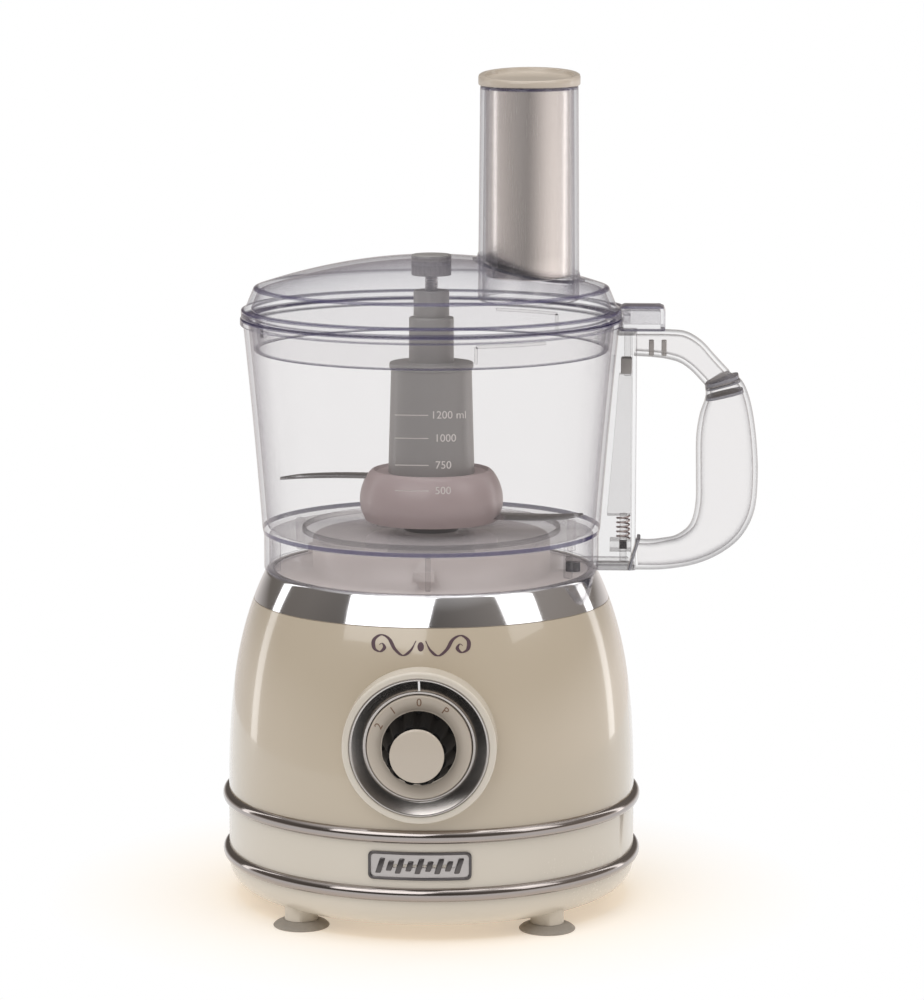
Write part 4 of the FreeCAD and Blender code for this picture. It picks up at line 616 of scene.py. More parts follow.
@dataclass(frozen=True)
class MouldedPlastic:
    """Plain moulded plastic with a spark-fine grain and slight flow marks."""
    name: str
    colour: Colour
    roughness: float = 0.42
    grain: float = 0.00003
    coat: float = 0.15
    specular: float = 0.5
    # painted_glow: emission that paints extra light on the plastic, though it is no lamp.
    painted_glow: float = 0.0

    def make(self) -> bpy.types.Material:
        """The material."""
        g = Graph(self.name)
        fine, flow = g.noise(2200.0, 2.0), g.noise((12.0, 12.0, 40.0), 3.0)
        colour = g.mix(flow * 0.35, self.colour, scaled(self.colour, 0.82))
        return g.finish(g.principled({"Base Color": colour, "Roughness": self.roughness + (flow - 0.5) * 0.12,
                                      "Specular IOR Level": self.specular, "Coat Weight": self.coat,
                                      "Emission Color": self.colour, "Emission Strength": self.painted_glow,
                                      "Normal": g.bump(fine, self.grain, 0.4)}))


@dataclass(frozen=True)
class SoftRubber:
    """Matte rubber with dust in it."""
    name: str
    colour: Colour

    def make(self) -> bpy.types.Material:
        """The material."""
        g = Graph(self.name)
        dust = g.noise(160.0, 4.0, 0.7)
        colour = g.mix((dust - 0.35).clamped(), self.colour, scaled(self.colour, 1.6, 0.02))
        return g.finish(g.principled({"Base Color": colour, "Roughness": 0.62 + (dust - 0.5) * 0.2,
                                      "Sheen Weight": 0.2,
                                      "Normal": g.bump(g.noise(1400.0, 2.0), 0.00005, 0.5)}))


@dataclass(frozen=True)
class Ink:
    """Printed ink: flat colour with small gaps in its edge."""
    name: str
    colour: Colour
    # painted_glow: emission that paints extra light on the ink, though it is no lamp.
    painted_glow: float = 0.0

    def make(self) -> bpy.types.Material:
        """The material."""
        g = Graph(self.name)
        wear = g.noise(1500.0, 3.0)
        colour = g.mix(wear * 0.3, self.colour, scaled(self.colour, 0.85))
        return g.finish(g.principled({"Base Color": colour, "Roughness": 0.5 + wear * 0.1,
                                      "Emission Color": self.colour, "Emission Strength": self.painted_glow}))


class Finishes:
    """Every finish of the machine, each made once."""

    def __init__(self) -> None:
        """Makes the materials."""
        self.beige = GlossShell("lacquered beige", srgb(200, 187, 167), srgb(192, 178, 156), 0.20, 0.9).make()
        self.ivory = GlossShell("ivory plastic", srgb(219, 211, 198), srgb(211, 202, 187), 0.26, 0.5).make()
        self.cream = GlossShell("cream plastic", srgb(200, 189, 175), srgb(191, 179, 164), 0.35, 0.3).make()
        self.chrome = ChromePlate("bright chrome", roughness=0.07).make()
        violet: Colour = (0.045, 0.035, 0.13, 1.0)
        # Bowl: its bands paint dark edge lines at the floor and rim, and its light face colour with the floor
        # disc paints a white reflection on its floor.
        self.clear_bowl = ClearPlastic(
            "clear bowl plastic", 0.015, 0.9, 5.0, violet,
            ((180.0, 181.8, 0.8, 80.2), (279.3, 279.9, 0.45, 80.0), (281.9, 282.6, 0.6, 80.0)),
            (0.964, 0.960, 0.960, 1.0), (0.80, 0.78, 0.81, 1.0), (178.0, 181.4, 78.6)).make()
        # Lid: its bands paint dark edge lines at the skirt, flange and shoulder.
        self.clear_lid = ClearPlastic(
            "clear lid plastic", 0.015, 0.9, 5.5, violet,
            ((266.8, 267.7, 0.45, 80.0), (282.6, 283.3, 0.55, 80.0), (286.0, 286.8, 0.6, 80.0),
             (296.5, 297.6, 0.55, 80.0)), (0.966, 0.963, 0.965, 1.0)).make()
        # Tongue: its bands paint dark edge lines at its top and foot.
        self.milky_clear = ClearPlastic(
            "milky tongue plastic", 0.16, 0.75, 2.0, (0.10, 0.09, 0.17, 1.0),
            ((288.2, 289.1, 0.35, 80.0), (277.3, 278.3, 0.3, 80.0)),
            face_colour=(0.80, 0.79, 0.86, 1.0)).make()
        self.clear_thick = ClearPlastic("clear handle plastic", 0.02, 0.88, 3.0, (0.075, 0.072, 0.09, 1.0),
                                        tint=(0.975, 0.970, 0.969, 1.0)).make()
        self.clear_column = ClearPlastic("clear column plastic", 0.02, 0.9, 2.6,
                                         (0.045, 0.038, 0.10, 1.0)).make()
        # Tube: its band paints a dark edge line at the mouth.
        self.clear_tube = ClearPlastic("clear tube plastic", 0.012, 0.9, 3.2, (0.045, 0.036, 0.12, 1.0),
                                       ((391.2, 392.6, 0.4, 0.0),)).make()
        self.violet_clear = ClearPlastic("violet joint plastic", 0.5, 0.5, 1.2,
                                         (0.035, 0.03, 0.075, 1.0)).make()
        self.grey_clear = ClearPlastic("grey clear plastic", 0.07, 0.6, 2.4, (0.22, 0.205, 0.215, 1.0),
                                       face_colour=(0.62, 0.58, 0.59, 1.0)).make()
        self.badge_field = SatinMetal("satin badge field", (0.60, 0.57, 0.56, 1.0), 0.42, Grain.LEVEL).make()
        self.badge_dark = SatinMetal("dark badge metal", (0.13, 0.12, 0.12, 1.0), 0.35, Grain.LEVEL).make()
        self.bead_chrome = ChromePlate("bead chrome", (0.38, 0.345, 0.33, 1.0), 0.11).make()
        self.dish_chrome = ChromePlate("dish chrome", (0.60, 0.565, 0.54, 1.0), 0.22).make()
        self.spring_wire = SatinMetal("pale spring wire", (0.66, 0.56, 0.54, 1.0), 0.35, Grain.EVEN).make()
        self.satin = SatinMetal("satin silver sleeve", (0.82, 0.785, 0.765, 1.0), 0.27, lines=0.12).make()
        self.steel = SatinMetal("ground blade steel", (0.45, 0.45, 0.46, 1.0), 0.22, Grain.GROUND).make()
        self.machine_steel = SatinMetal("turned steel", (0.50, 0.50, 0.51, 1.0), 0.28, Grain.TURNED).make()
        self.lamination = SatinMetal("stacked laminations", (0.20, 0.20, 0.21, 1.0), 0.45,
                                     Grain.STACKED).make()
        self.copper = SatinMetal("enamelled copper", (0.62, 0.26, 0.11, 1.0), 0.30, Grain.WOUND).make()
        self.bronze = SatinMetal("sintered bronze", (0.50, 0.36, 0.20, 1.0), 0.48, Grain.EVEN).make()
        self.alloy = SatinMetal("cast alloy", (0.42, 0.42, 0.43, 1.0), 0.55, Grain.CAST).make()
        self.hub = MouldedPlastic("grey spindle plastic", srgb(160, 158, 157), 0.40).make()
        self.drum = MouldedPlastic("rose grey hub plastic", srgb(186, 170, 170), 0.34).make()
        # The deck's glow is painted light, which keeps it light under the clear bowl's layers.
        self.deck = MouldedPlastic("grey deck plastic", srgb(206, 198, 196), 0.40, painted_glow=0.17).make()
        self.pale_grey = MouldedPlastic("pale grey plastic", srgb(186, 182, 178), 0.45).make()
        self.black = MouldedPlastic("black knob plastic", srgb(8, 7, 7), 0.5, coat=0.0, specular=0.10).make()
        self.dark = MouldedPlastic("dark case plastic", srgb(48, 48, 52), 0.55).make()
        self.nylon = MouldedPlastic("gear nylon", srgb(214, 208, 190), 0.40).make()
        self.pad = SoftRubber("suction pad rubber", srgb(150, 143, 134)).make()
        self.gland = SoftRubber("gland rubber", srgb(120, 112, 104)).make()
        self.plum_ink = Ink("plum ink", srgb(88, 66, 74)).make()
        self.brown_ink = Ink("brown ink", srgb(128, 98, 76)).make()
        self.faint_ink = Ink("faint white ink", srgb(206, 200, 198)).make()
        # The white ink's glow is painted light, which keeps the index line bright.
        self.white_ink = Ink("white ink", srgb(245, 245, 245), 0.25).make()


def dress(piece: bpy.types.Object, finish: bpy.types.Material) -> None:
    """Gives a piece one finish."""
    piece.data.materials.clear()
    piece.data.materials.append(finish)


class Body(str, Enum):
    """The frame's moving bodies."""
    BASE = "base"
    DIAL = "dial"
    BOWL = "bowl"
    ROD = "rod"
    LID = "lid"
    BUSH = "bush"
    PUSHER = "pusher"
    BLADE = "blade"
    SLEEVE = "sleeve"


class Slot(str, Enum):
    """The record's material slots, one given with each new piece."""
    BEIGE = "beige_gloss"
    IVORY = "ivory_gloss"
    CHROME = "chrome_plate"
    CLEAR = "clear_plastic"
    HUB = "hub_grey"
    DRUM = "drum_pink"
    BLACK = "black_plastic"
    SATIN = "satin_silver"
    BLADE = "blade_steel"
    PAD = "pad_rubber"
    GLAND = "gland_rubber"
    DECK = "deck_plastic"
    SPRING = "spring_steel"


def mount(piece: bpy.types.Object, finish: bpy.types.Material, body: Body, slot: Slot,
          stands_for: Sequence[str] = ()) -> bpy.types.Object:
    """Dresses a piece, names its body and logs it.

    Args:
        piece: The piece.
        finish: Its material.
        body: The body it moves with.
        slot: The record's material slot it belongs to; not used.
        stands_for: CAD nodes that it replaces.
    Returns:
        The piece.
    """
    dress(piece, finish)
    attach(piece, body.value)
    if stands_for:
        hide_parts(*stands_for)
    log.info("%s: %d faces, rides %s", piece.name, len(piece.data.polygons), body.value)
    return piece


def place(name: str, surface: Surface, finish: bpy.types.Material, body: Body, slot: Slot,
          stands_for: Sequence[str] = (), smooth_angle: float = 40.0) -> bpy.types.Object:
    """Makes, dresses and mounts a piece.

    Args:
        name: The piece's name.
        surface: Its shape in millimetres.
        finish: Its material.
        body: The body it moves with.
        slot: The record's material slot it belongs to.
        stands_for: CAD nodes that it replaces.
        smooth_angle: Edges sharper than this stay sharp.
    Returns:
        The piece.
    """
    return mount(mesh_piece(name, surface, smooth_angle), finish, body, slot, stands_for)


def lettering(name: str, text: str, height: float, lay: Callable[[Points], Points],
              finish: bpy.types.Material, body: Body, slot: Slot) -> bpy.types.Object:
    """Printed characters laid on a surface.

    Args:
        name: The piece's name.
        text: Generic numerals.
        height: Height of the characters in millimetres.
        lay: Takes flat points (across, up) in millimetres to the surface, as (n, 3).
        finish: The ink.
        body: The body it moves with.
        slot: The record's slot.
    Returns:
        The piece.
    """
    curve = bpy.data.curves.new(name, "FONT")
    body_to_capital = 1.4
    curve.body, curve.size = text, height * body_to_capital
    curve.align_x, curve.align_y = "CENTER", "CENTER"
    holder = bpy.data.objects.new(name + "_flat", curve)
    bpy.context.scene.collection.objects.link(holder)
    bpy.context.view_layer.update()
    flat = bpy.data.meshes.new_from_object(holder.evaluated_get(bpy.context.evaluated_depsgraph_get()))
    bpy.data.objects.remove(holder)
    pts = np.zeros(len(flat.vertices) * 3)
    flat.vertices.foreach_get("co", pts)
    pts = lay(pts.reshape(-1, 3)[:, :2]) * MM
    flat.vertices.foreach_set("co", pts.ravel())
    flat.name = name
    piece = bpy.data.objects.new(name, flat)
    bpy.context.scene.collection.objects.link(piece)
    return mount(piece, finish, body, slot)


def arc_bar(profile: Points, start: float, end: float, segments: int = 24) -> Surface:
    """A bar of a closed (radius, height) profile along an arc about the drive axis, closed at its ends."""
    open_bar = revolve(profile, segments, start, end)
    return loft(open_bar.points.reshape(segments + 1, len(profile), 3))


def hollow_box(low: Sequence[float], high: Sequence[float], wall: float, round_by: float) -> Surface:
    """A rounded box that is open below, with walls of one thickness.

    The rings run down the outside, turn in under the rim and run up the inside.

    Args:
        low: Lowest corner.
        high: Highest corner.
        wall: Thickness of the walls and the top.
        round_by: Rounding of the upright corners and the top edge.
    Returns:
        The closed surface.
    """
    (x0, y0, z0), (x1, y1, z1) = low, high
    rows = []
    part, ease, step = 0.3 * round_by, 0.4, 0.6
    outside = [(round_by, z1), (part, z1 - part), (0, z1 - round_by), (0, z0 + ease), (ease / 2, z0)]
    inside = [(wall - ease / 2, z0), (wall, z0 + ease), (wall, z1 - wall - step), (wall + step, z1 - wall)]
    for inset, z in outside + inside:
        r = max(ease, round_by - min(inset, round_by) + ease)
        rows.append(at_level(rectangle(x0 + inset, x1 - inset, y0 + inset, y1 - inset, r, 4), z))
    return loft(rows)


@dataclass
class MotorBase:
    """Painted bell on an ivory pan, with its plated collar, beads, badge, feet and gland."""
    finish: Finishes
    body_radius: float = 98.0
    neck_radius: float = 79.0
    bell_foot: float = 55.0
    bell_top: float = 162.0
    bell_wall: float = 2.6
    collar_foot: float = 147.6
    collar_wall: float = 1.5
    collar_bore: float = 75.0
    split: float = 52.2
    bead_levels: tuple[float, float] = (24.8, 52.2)
    bead_half: float = 3.2
    bead_depth: float = 2.9
    foot_spots: tuple[float, float] = (58.0, 62.0)
    pad_radius: float = 13.4
    badge_size: tuple[float, float] = (48.0, 13.2)
    badge_level: float = 38.5
    gland_level: float = 34.0
    scroll_level: float = 139.6

    def bell_line(self, inset: float, low: float, high: float, count: int = 48) -> Points:
        """The bell's outline between two levels.

        A cubic with four poles from the straight band at the foot in to the neck; below the foot it
        is upright.

        Args:
            inset: Distance in from the outside.
            low: Lowest level.
            high: Highest level.
            count: Number of points.
        Returns:
            The (radius, height) points, upwards.
        """
        t = np.linspace(0, 1, 400)
        drop, rise = self.body_radius - self.neck_radius, self.bell_top - self.bell_foot
        pr = np.array([0, 0, 0.237 * drop, drop])
        pz = np.array([0, 0.42, 0.738, 1.0]) * rise + self.bell_foot
        weight = np.stack([(1 - t) ** 3, 3 * t * (1 - t) ** 2, 3 * t * t * (1 - t), t ** 3])
        z = np.linspace(low, high, count)
        radius = self.body_radius - np.interp(z, pz @ weight, pr @ weight)
        return np.stack([radius - inset, z], axis=1)

    def on_bell(self, flat: Points, lift: float = 0.08) -> Points:
        """Lays (along, level) points on the bell's front: the angle from the front is along / radius."""
        line = self.bell_line(0.0, self.split, self.bell_top, 300)
        radius = np.interp(flat[:, 1], line[:, 1], line[:, 0])
        angle = flat[:, 0] / radius
        r = radius + lift
        return np.stack([r * np.sin(angle), -r * np.cos(angle), flat[:, 1]], axis=1)

    def build_bell(self) -> None:
        """The painted bell, its collar and the two plated beads."""
        outer = self.bell_line(0, self.split, self.collar_foot)
        inner = self.bell_line(self.bell_wall, self.split, self.collar_foot)
        place("bell", revolve(np.vstack([outer, inner[::-1]]), FINE_TURN), self.finish.beige, Body.BASE,
              Slot.BEIGE, ["upper_housing"], 50)
        wall, top = self.collar_wall, self.bell_top
        bore = self.collar_bore
        skin_line = self.bell_line(0, self.collar_foot + 0.35, top - 0.9, 24)
        lip = np.array([[self.neck_radius - 0.12, top - 0.35], [self.neck_radius - 0.7, top],
                        [bore + 0.4, top], [bore, top - 0.4], [bore, top - wall]])
        back = self.bell_line(wall, self.collar_foot + 0.35, top - wall, 16)[::-1]
        foot = np.array([[skin_line[0, 0] - 0.35, self.collar_foot]])
        place("collar", revolve(np.vstack([skin_line, lip, back, foot]), FINE_TURN), self.finish.chrome,
              Body.BASE, Slot.CHROME, ["collar_ring"], 35)
        a = np.linspace(-np.pi / 2, np.pi / 2, 17)
        for name, node, level in (("lower_bead", "trim_ring_lower", self.bead_levels[0]),
                                  ("upper_bead", "trim_ring_upper", self.bead_levels[1])):
            low, high, root = level - self.bead_half, level + self.bead_half, self.body_radius - 0.6
            arc = np.stack([self.body_radius + self.bead_depth * np.cos(a),
                            level + self.bead_half * np.sin(a)], 1)
            line = np.vstack([arc, [[root, high], [root, low]]])
            place(name, revolve(line, FINE_TURN), self.finish.bead_chrome, Body.BASE, Slot.CHROME, [node], 60)

    def build_pan(self) -> None:
        """The ivory pan with its vents, the four suction feet and the cord's gland."""
        pan = welded_copy("lower_housing", "pan")
        mount(pan, self.finish.ivory, Body.BASE, Slot.IVORY, ["lower_housing"])
        r = self.pad_radius
        pad = eased([(0, 1.6, 0), (r - 4.6, 0.9, 0.6), (r - 2.6, 0.0, 0.5), (r - 0.4, 0.0, 0.3),
                     (r, 0.7, 0.5),
                     (r - 1.4, 2.0, 1.0), (8.6, 3.5, 0.8), (3.2, 3.5, 0.1), (3.0, 6.8, 0.3), (0, 6.8, 0)])
        feet = [revolve(pad, 48).moved(x, y) for x in (-self.foot_spots[0], self.foot_spots[0])
                for y in (-self.foot_spots[1], self.foot_spots[1])]
        place("suction_feet", joined(feet), self.finish.pad, Body.BASE, Slot.PAD, ["foot_pads"])
        bore, y = 3.6, self.body_radius
        ribs = [(bore + 4.1 - 0.22 * i - (0.7 if i % 2 else 0.0), y + 2.8 + i, 0.3) for i in range(9)]
        gland = eased([(bore, y - 7, 0), (bore + 2.3, y - 7, 0.3), (bore + 2.3, y, 0), (bore + 5.4, y, 0.2),
                       (bore + 5.4, y + 2.5, 0.7)] + ribs + [(bore + 1.9, y + 12, 0.5), (bore, y + 12, 0.4)],
                       steps=3)
        tube = revolve(gland, 48)
        tube = Surface(tube.points[:, [0, 2, 1]], tube.quads).moved(z=self.gland_level)
        place("cord_gland", tube, self.finish.gland, Body.BASE, Slot.GLAND, ["cord_grommet"])

    def build_badge(self) -> None:
        """A plain plated badge on the lower band: dark frame, satin field and a row of leaning bars."""
        half_x, half_z = self.badge_size[0] / 2, self.badge_size[1] / 2
        ring = subdivided(rectangle(-half_x, half_x, -half_z, half_z, 2.6, 5), 2.0)

        def layer(grow: float, lift: float) -> Points:
            """The outline grown by a distance and lifted off the band."""
            scale = np.array([(half_x + grow) / half_x, (half_z + grow) / half_z])
            flat = ring * scale
            r, angle = self.body_radius + lift, flat[:, 0] / self.body_radius
            return np.stack([r * np.sin(angle), -r * np.cos(angle), flat[:, 1] + self.badge_level], axis=1)

        frame_rows = [layer(grow, lift) for grow, lift in (
            (0, 0.05), (0, 0.9), (-0.3, 1.2), (-0.9, 1.2), (-1.2, 0.9), (-1.2, 0.3))]
        field_rows = [layer(grow, 0.5) for grow in (-1.0, -2.0, -3.5, -5.0, -5.75)]
        place("badge_frame", loft(frame_rows), self.finish.badge_dark, Body.BASE, Slot.CHROME,
              ["badge_plate"])
        place("badge_field", loft(field_rows), self.finish.badge_field, Body.BASE, Slot.CHROME)
        half_wide, half_deep, gap, lean = 1.3, 0.6, 4.55, 0.32
        bars = []
        for i in range(-4, 5):
            tall = 3.6 if i % 2 == 0 else 2.4
            bar = slab((-half_wide, -half_deep, -tall), (half_wide, half_deep, tall), 0.5)
            bar = bar.moved(y=-self.body_radius - half_deep, z=self.badge_level)
            bars.append(bar.turned(i * gap / self.body_radius * 180 / math.pi))
        row = joined(bars)
        row.points[:, 0] += lean * (row.points[:, 2] - self.badge_level)
        place("badge_bars", row, self.finish.badge_dark, Body.BASE, Slot.CHROME)

    def build_flourish(self) -> None:
        """A plain printed scroll above the dial: two mirrored sweeps that curl in, with a bead between.

        A stroke's width swells where the line runs up or down and thins towards both its ends.
        """
        level, count, low_lift, high_lift = self.scroll_level, 140, 0.02, 0.12
        knots = [(2.2, 2.6), (4.6, -1.6), (8.2, -3.9), (12.0, -1.2), (14.8, 3.2), (18.6, 4.8), (22.0, 2.4),
                 (21.8, -1.2), (19.0, -2.6), (16.9, -0.8), (18.0, 1.1), (19.4, 0.4)]
        line = smooth_curve(knots, count) + np.array([0.0, level])
        t = np.linspace(0, 1, count)
        slope = np.gradient(line, axis=0)
        slope /= np.linalg.norm(slope, axis=1, keepdims=True)
        side = np.stack([-slope[:, 1], slope[:, 0]], axis=1)
        width = (0.26 + 0.66 * np.abs(slope[:, 1]) ** 1.4) * np.clip(np.minimum(8 * t, 5 * (1 - t)), 0.25, 1)
        low, high = line - side * width[:, None], line + side * width[:, None]
        parts = []
        for mirror in (1.0, -1.0):
            rows = [self.on_bell(edge * np.array([mirror, 1.0]), lift) for edge, lift in (
                (low, low_lift), (low, high_lift), (high, high_lift), (high, low_lift))]
            parts.append(loft(np.stack(rows, axis=1)))
        a = full_turn(24)
        bead = [self.on_bell(np.stack([s * 1.5 * np.cos(a), level + s * 2.1 * np.sin(a)], 1), lift)
                for s, lift in ((1.0, low_lift), (0.96, high_lift), (0.5, high_lift))]
        place("scroll_print", joined(parts + [loft(bead)]), self.finish.plum_ink, Body.BASE, Slot.BEIGE)

    def build(self) -> None:
        """All of the motor base."""
        self.build_bell()
        self.build_pan()
        self.build_badge()
        self.build_flourish()


@dataclass
class DialControl:
    """Switch dial: fixed bezel and plated dish, turning disc, scalloped knob and cap."""
    finish: Finishes
    level: float = 95.1
    bezel_radius: float = 35.6
    rim: float = 3.2
    face: float = 103.42
    recess: float = 98.02
    disc_face: float = 101.22
    disc_radius: float = 24.2
    knob_base: float = 17.2
    knob_top: float = 13.7
    knob_face: float = 120.22
    scallops: int = 12
    mark_radius: float = 20.9
    ink: float = 0.06

    def build_surround(self) -> None:
        """The ivory bezel, the plated dish in it and the white index line."""
        r, rim, f = self.bezel_radius, self.bezel_radius - self.rim, self.face
        bezel = eased([(r, 80, 0), (r, f, 1.9), (rim, f, 0.7), (rim, self.recess + 0.1, 0),
                       (27.0, self.recess, 0), (27.0, 86, 0), (rim - 2, 80, 0)])
        place("dial_surround", revolve(bezel, 160).on_dial(self.level), self.finish.ivory, Body.BASE,
              Slot.IVORY, ["dial_bezel"])
        back = self.recess + 0.05
        dish = eased([(24.6, back, 0), (rim - 0.05, back, 0), (rim - 0.05, back + 4.5, 0.4),
                      (rim - 1.0, back + 4.5, 0.4), (25.8, back + 1.3, 1.0), (24.6, back + 1.3, 0.3)])
        place("dial_dish_ring", revolve(dish, 160).on_dial(self.level), self.finish.dish_chrome, Body.BASE,
              Slot.CHROME, ["dial_dish"], 30)
        x = np.array([-0.45, 0.45, 0.45, -0.45])
        thick = np.array([0.0, 0.0, 0.22, 0.22])
        rows = [np.stack([x, np.full(4, up), thick + out], 1)
                for up, out in ((26.1, back + 1.35), (28.6, back + 2.85), (31.1, back + 4.32))]
        place("dial_index", loft(rows).on_dial(self.level), self.finish.white_ink, Body.BASE, Slot.IVORY)

    def knob_skin(self) -> Surface:
        """The scalloped grip.

        The radius is the cone's less 1.6 (cos((n a) / 2))^5 for n scallops, and the cone tapers from
        its foot to the rim round the cap.

        Returns:
            The grip's closed surface, about +Z.
        """
        back, top = self.disc_face + 0.05, self.knob_face
        cap, deep = 12.55, 1.6
        line = eased([(0.1, back, 0), (self.knob_base, back, 0.2), (self.knob_base, back + 2.0, 0.6),
                      (self.knob_top, top - 0.9, 0.9), (cap, top - 0.7, 0.3), (cap, top - 2.2, 0),
                      (0.1, top - 2.2, 0)])
        a = full_turn(16 * self.scallops)
        wave = np.abs(np.cos(self.scallops * a / 2)) ** 5
        grow = np.clip((line[:, 0] - cap) / 1.2, 0, 1) * np.clip((line[:, 1] - back - 0.1) / 0.4, 0, 1)
        return skin(swept(a, line[None, :, 0] - deep * wave[:, None] * grow[None, :], line[:, 1]), True)

    def build_knob(self) -> None:
        """The turning disc, its numerals, the grip and the cap."""
        back, f, r = self.disc_face - 2.6, self.disc_face, self.disc_radius
        disc = eased([(3.1, back, 0), (r, back, 0.2), (r, f, 0.9), (18.2, f, 0), (17.8, f - 0.3, 0.1),
                      (3.1, f - 0.3, 0)])
        place("numbered_disc", revolve(disc, 128).on_dial(self.level), self.finish.cream, Body.DIAL,
              Slot.IVORY, ["dial_skirt"])
        place("knob_scallops", self.knob_skin().on_dial(self.level), self.finish.black, Body.DIAL, Slot.BLACK,
              ["knob_grip"], 45)
        top = self.knob_face
        cap = eased([(0, top - 2.1, 0), (12.5, top - 2.1, 0), (12.5, top - 0.5, 0.5), (11.6, top, 0.5),
                     (6.3, top + 0.35, 2.0), (0, top + 0.5, 0)])
        place("knob_button", revolve(cap, 96).on_dial(self.level), self.finish.cream, Body.DIAL, Slot.IVORY,
              ["knob_cap"])
        for mark, degrees in (("2", -62.0), ("1", -35.0), ("0", 0.0), ("P", 35.0)):
            self.build_mark(mark, degrees)

    def build_mark(self, mark: str, degrees: float) -> None:
        """One character on the disc, its foot towards the centre."""
        a = math.radians(degrees)

        def lay(flat: Points) -> Points:
            """Stands the characters on the disc's face."""
            u, v = flat[:, 0], flat[:, 1] + self.mark_radius
            return np.stack([u * math.cos(a) + v * math.sin(a), np.full(len(u), -self.disc_face - self.ink),
                             self.level - u * math.sin(a) + v * math.cos(a)], axis=1)

        lettering("mark_" + mark, mark, 3.7, lay, self.finish.brown_ink, Body.DIAL, Slot.IVORY)

    def build(self) -> None:
        """All of the dial."""
        self.build_surround()
        self.build_knob()


@dataclass
class ClearBowl:
    """Clear bowl: turned shell with its chimney, the handle's column, arm and grip, and the rod."""
    finish: Finishes
    bottom: float = 162.3
    floor: float = 181.0
    rim: float = 282.5
    foot_radius: float = 81.0
    rim_radius: float = 90.0
    wall: float = 2.4
    arm_top: float = 277.0
    column_outer: float = 98.0
    column_half: float = 8.5
    column_wall: float = 2.0
    arm_half: float = 8.5
    grip_half: float = 12.5
    handle_wall: float = 2.2
    skirt_ribs: tuple[float, ...] = (-88.0, 30.0, 150.0, -30.0, 200.0)

    def outer(self, z: Any) -> Any:
        """The wall's outside radius at a level: it flares as 0.83 t + 0.17 t^2 from floor to rim."""
        t = (z - self.floor) / (self.rim - self.floor)
        return self.foot_radius + (self.rim_radius - self.foot_radius) * (0.83 * t + 0.17 * t * t)

    def build_shell(self) -> None:
        """The turned bowl with its foot ring and stop ribs."""
        fz, rz, w = self.floor, self.rim, self.wall
        z = np.linspace(fz + 0.6, rz - 4, 24)
        up = [(float(self.outer(h)), float(h), 0.0) for h in z]
        down = [(float(self.outer(h)) - w, float(h), 0.0) for h in np.linspace(rz - 4, fz + 6, 22)]
        skirt, inner = self.foot_radius - 0.7, self.foot_radius - 0.7 - w
        lip, well, bore = self.rim_radius + 1.2, 15.5, 13.3
        profile = eased([(skirt, self.bottom, 0.4), (skirt, fz - 2.6, 0.6)] + up
                        + [(self.outer(rz - 3.4), rz - 3.2, 0.3), (lip, rz - 3.0, 0.3), (lip, rz, 0.6),
                           (self.outer(rz - 4) - w, rz, 0.8)] + down
                        + [(self.foot_radius - w - 0.2, fz, 4.0), (17.5, fz, 0), (well, fz, 2.0),
                           (well, 236.0, 0.5), (bore, 236.0, 0.5), (bore, fz - w, 1.0),
                           (self.foot_radius - 3.1, fz - w, 0.5), (inner, fz - w - 1.5, 0.5),
                           (inner, self.bottom, 0.4)], steps=4)
        place("bowl_wall", revolve(profile, FINE_TURN), self.finish.clear_bowl, Body.BOWL, Slot.CLEAR,
              ["bowl"], 50)
        ring = eased([(60.2, fz - 1.0, 0), (62.0, fz - 1.0, 0), (62.0, fz + 1.2, 0.4), (60.2, fz + 1.2, 0.4)],
                     steps=2)
        rib = slab((inner - 3.0, -1.2, self.bottom + 1.2), (inner + 0.8, 1.2, fz - w + 0.5), 0.4)
        ribs = joined([revolve(ring, 144)] + [rib.turned(angle) for angle in self.skirt_ribs])
        place("bowl_ribs", ribs, self.finish.clear_thick, Body.BOWL, Slot.CLEAR)

    def build_column(self) -> None:
        """The hollow column beside the bowl that houses the rod."""
        half, w, x = self.column_half, self.column_wall, self.column_outer
        rows = []
        for z in np.linspace(self.bottom, self.arm_top, 26):
            xi = float(self.outer(max(z, self.floor))) - 1.0
            ring = eased([(xi, -half, 0), (x, -half, 2.4), (x, half, 2.4), (xi, half, 0), (xi, half - w, 0),
                          (x - w, half - w, 1.2), (x - w, -half + w, 1.2), (xi, -half + w, 0)], steps=4)
            rows.append(at_level(ring, z))
        channel = skin(np.array(rows))
        cols = len(rows[0])
        ends = [[at + i, at + i + 1, at + cols - 2 - i, at + cols - 1 - i]
                for at in (0, (len(rows) - 1) * cols) for i in range(cols // 2 - 1)]
        shell = Surface(channel.points, np.vstack([channel.quads, np.array(ends)]))
        side, edge = half - 0.3, x - 0.6
        foot = slab((79.0, -side, self.bottom), (edge, side, self.bottom + w), 0.6)
        cap = slab((self.outer(275.0) - 0.5, -side, self.arm_top - w), (edge, side, self.arm_top), 0.6)
        place("handle_column", shell + foot + cap, self.finish.clear_column, Body.BOWL, Slot.CLEAR)

    def build_limb(self, name: str, inner: Points, outer: Points, half: Points, power: float,
                   stands_for: Sequence[str] = ()) -> None:
        """One hollow limb of the handle: a skin and, inside it, the face of its hollow.

        Args:
            name: The piece's name.
            inner: Inner edge line, as (x, z).
            outer: Outer edge line.
            half: Half depth along Y at each point of the lines.
            power: Squareness of the section.
            stands_for: CAD nodes that it replaces.
        """
        outside = limb(inner, outer, half, 36, power)
        gap = outer - inner
        unit = gap / np.linalg.norm(gap, axis=1, keepdims=True)
        w, trim = self.handle_wall, slice(1, -1)
        hollow = limb((inner + unit * w)[trim], (outer - unit * w)[trim], (half - w)[trim], 36, power)
        mount(mesh_piece(name, outside, 60, hollow), self.finish.clear_thick, Body.BOWL, Slot.CLEAR,
              stands_for)

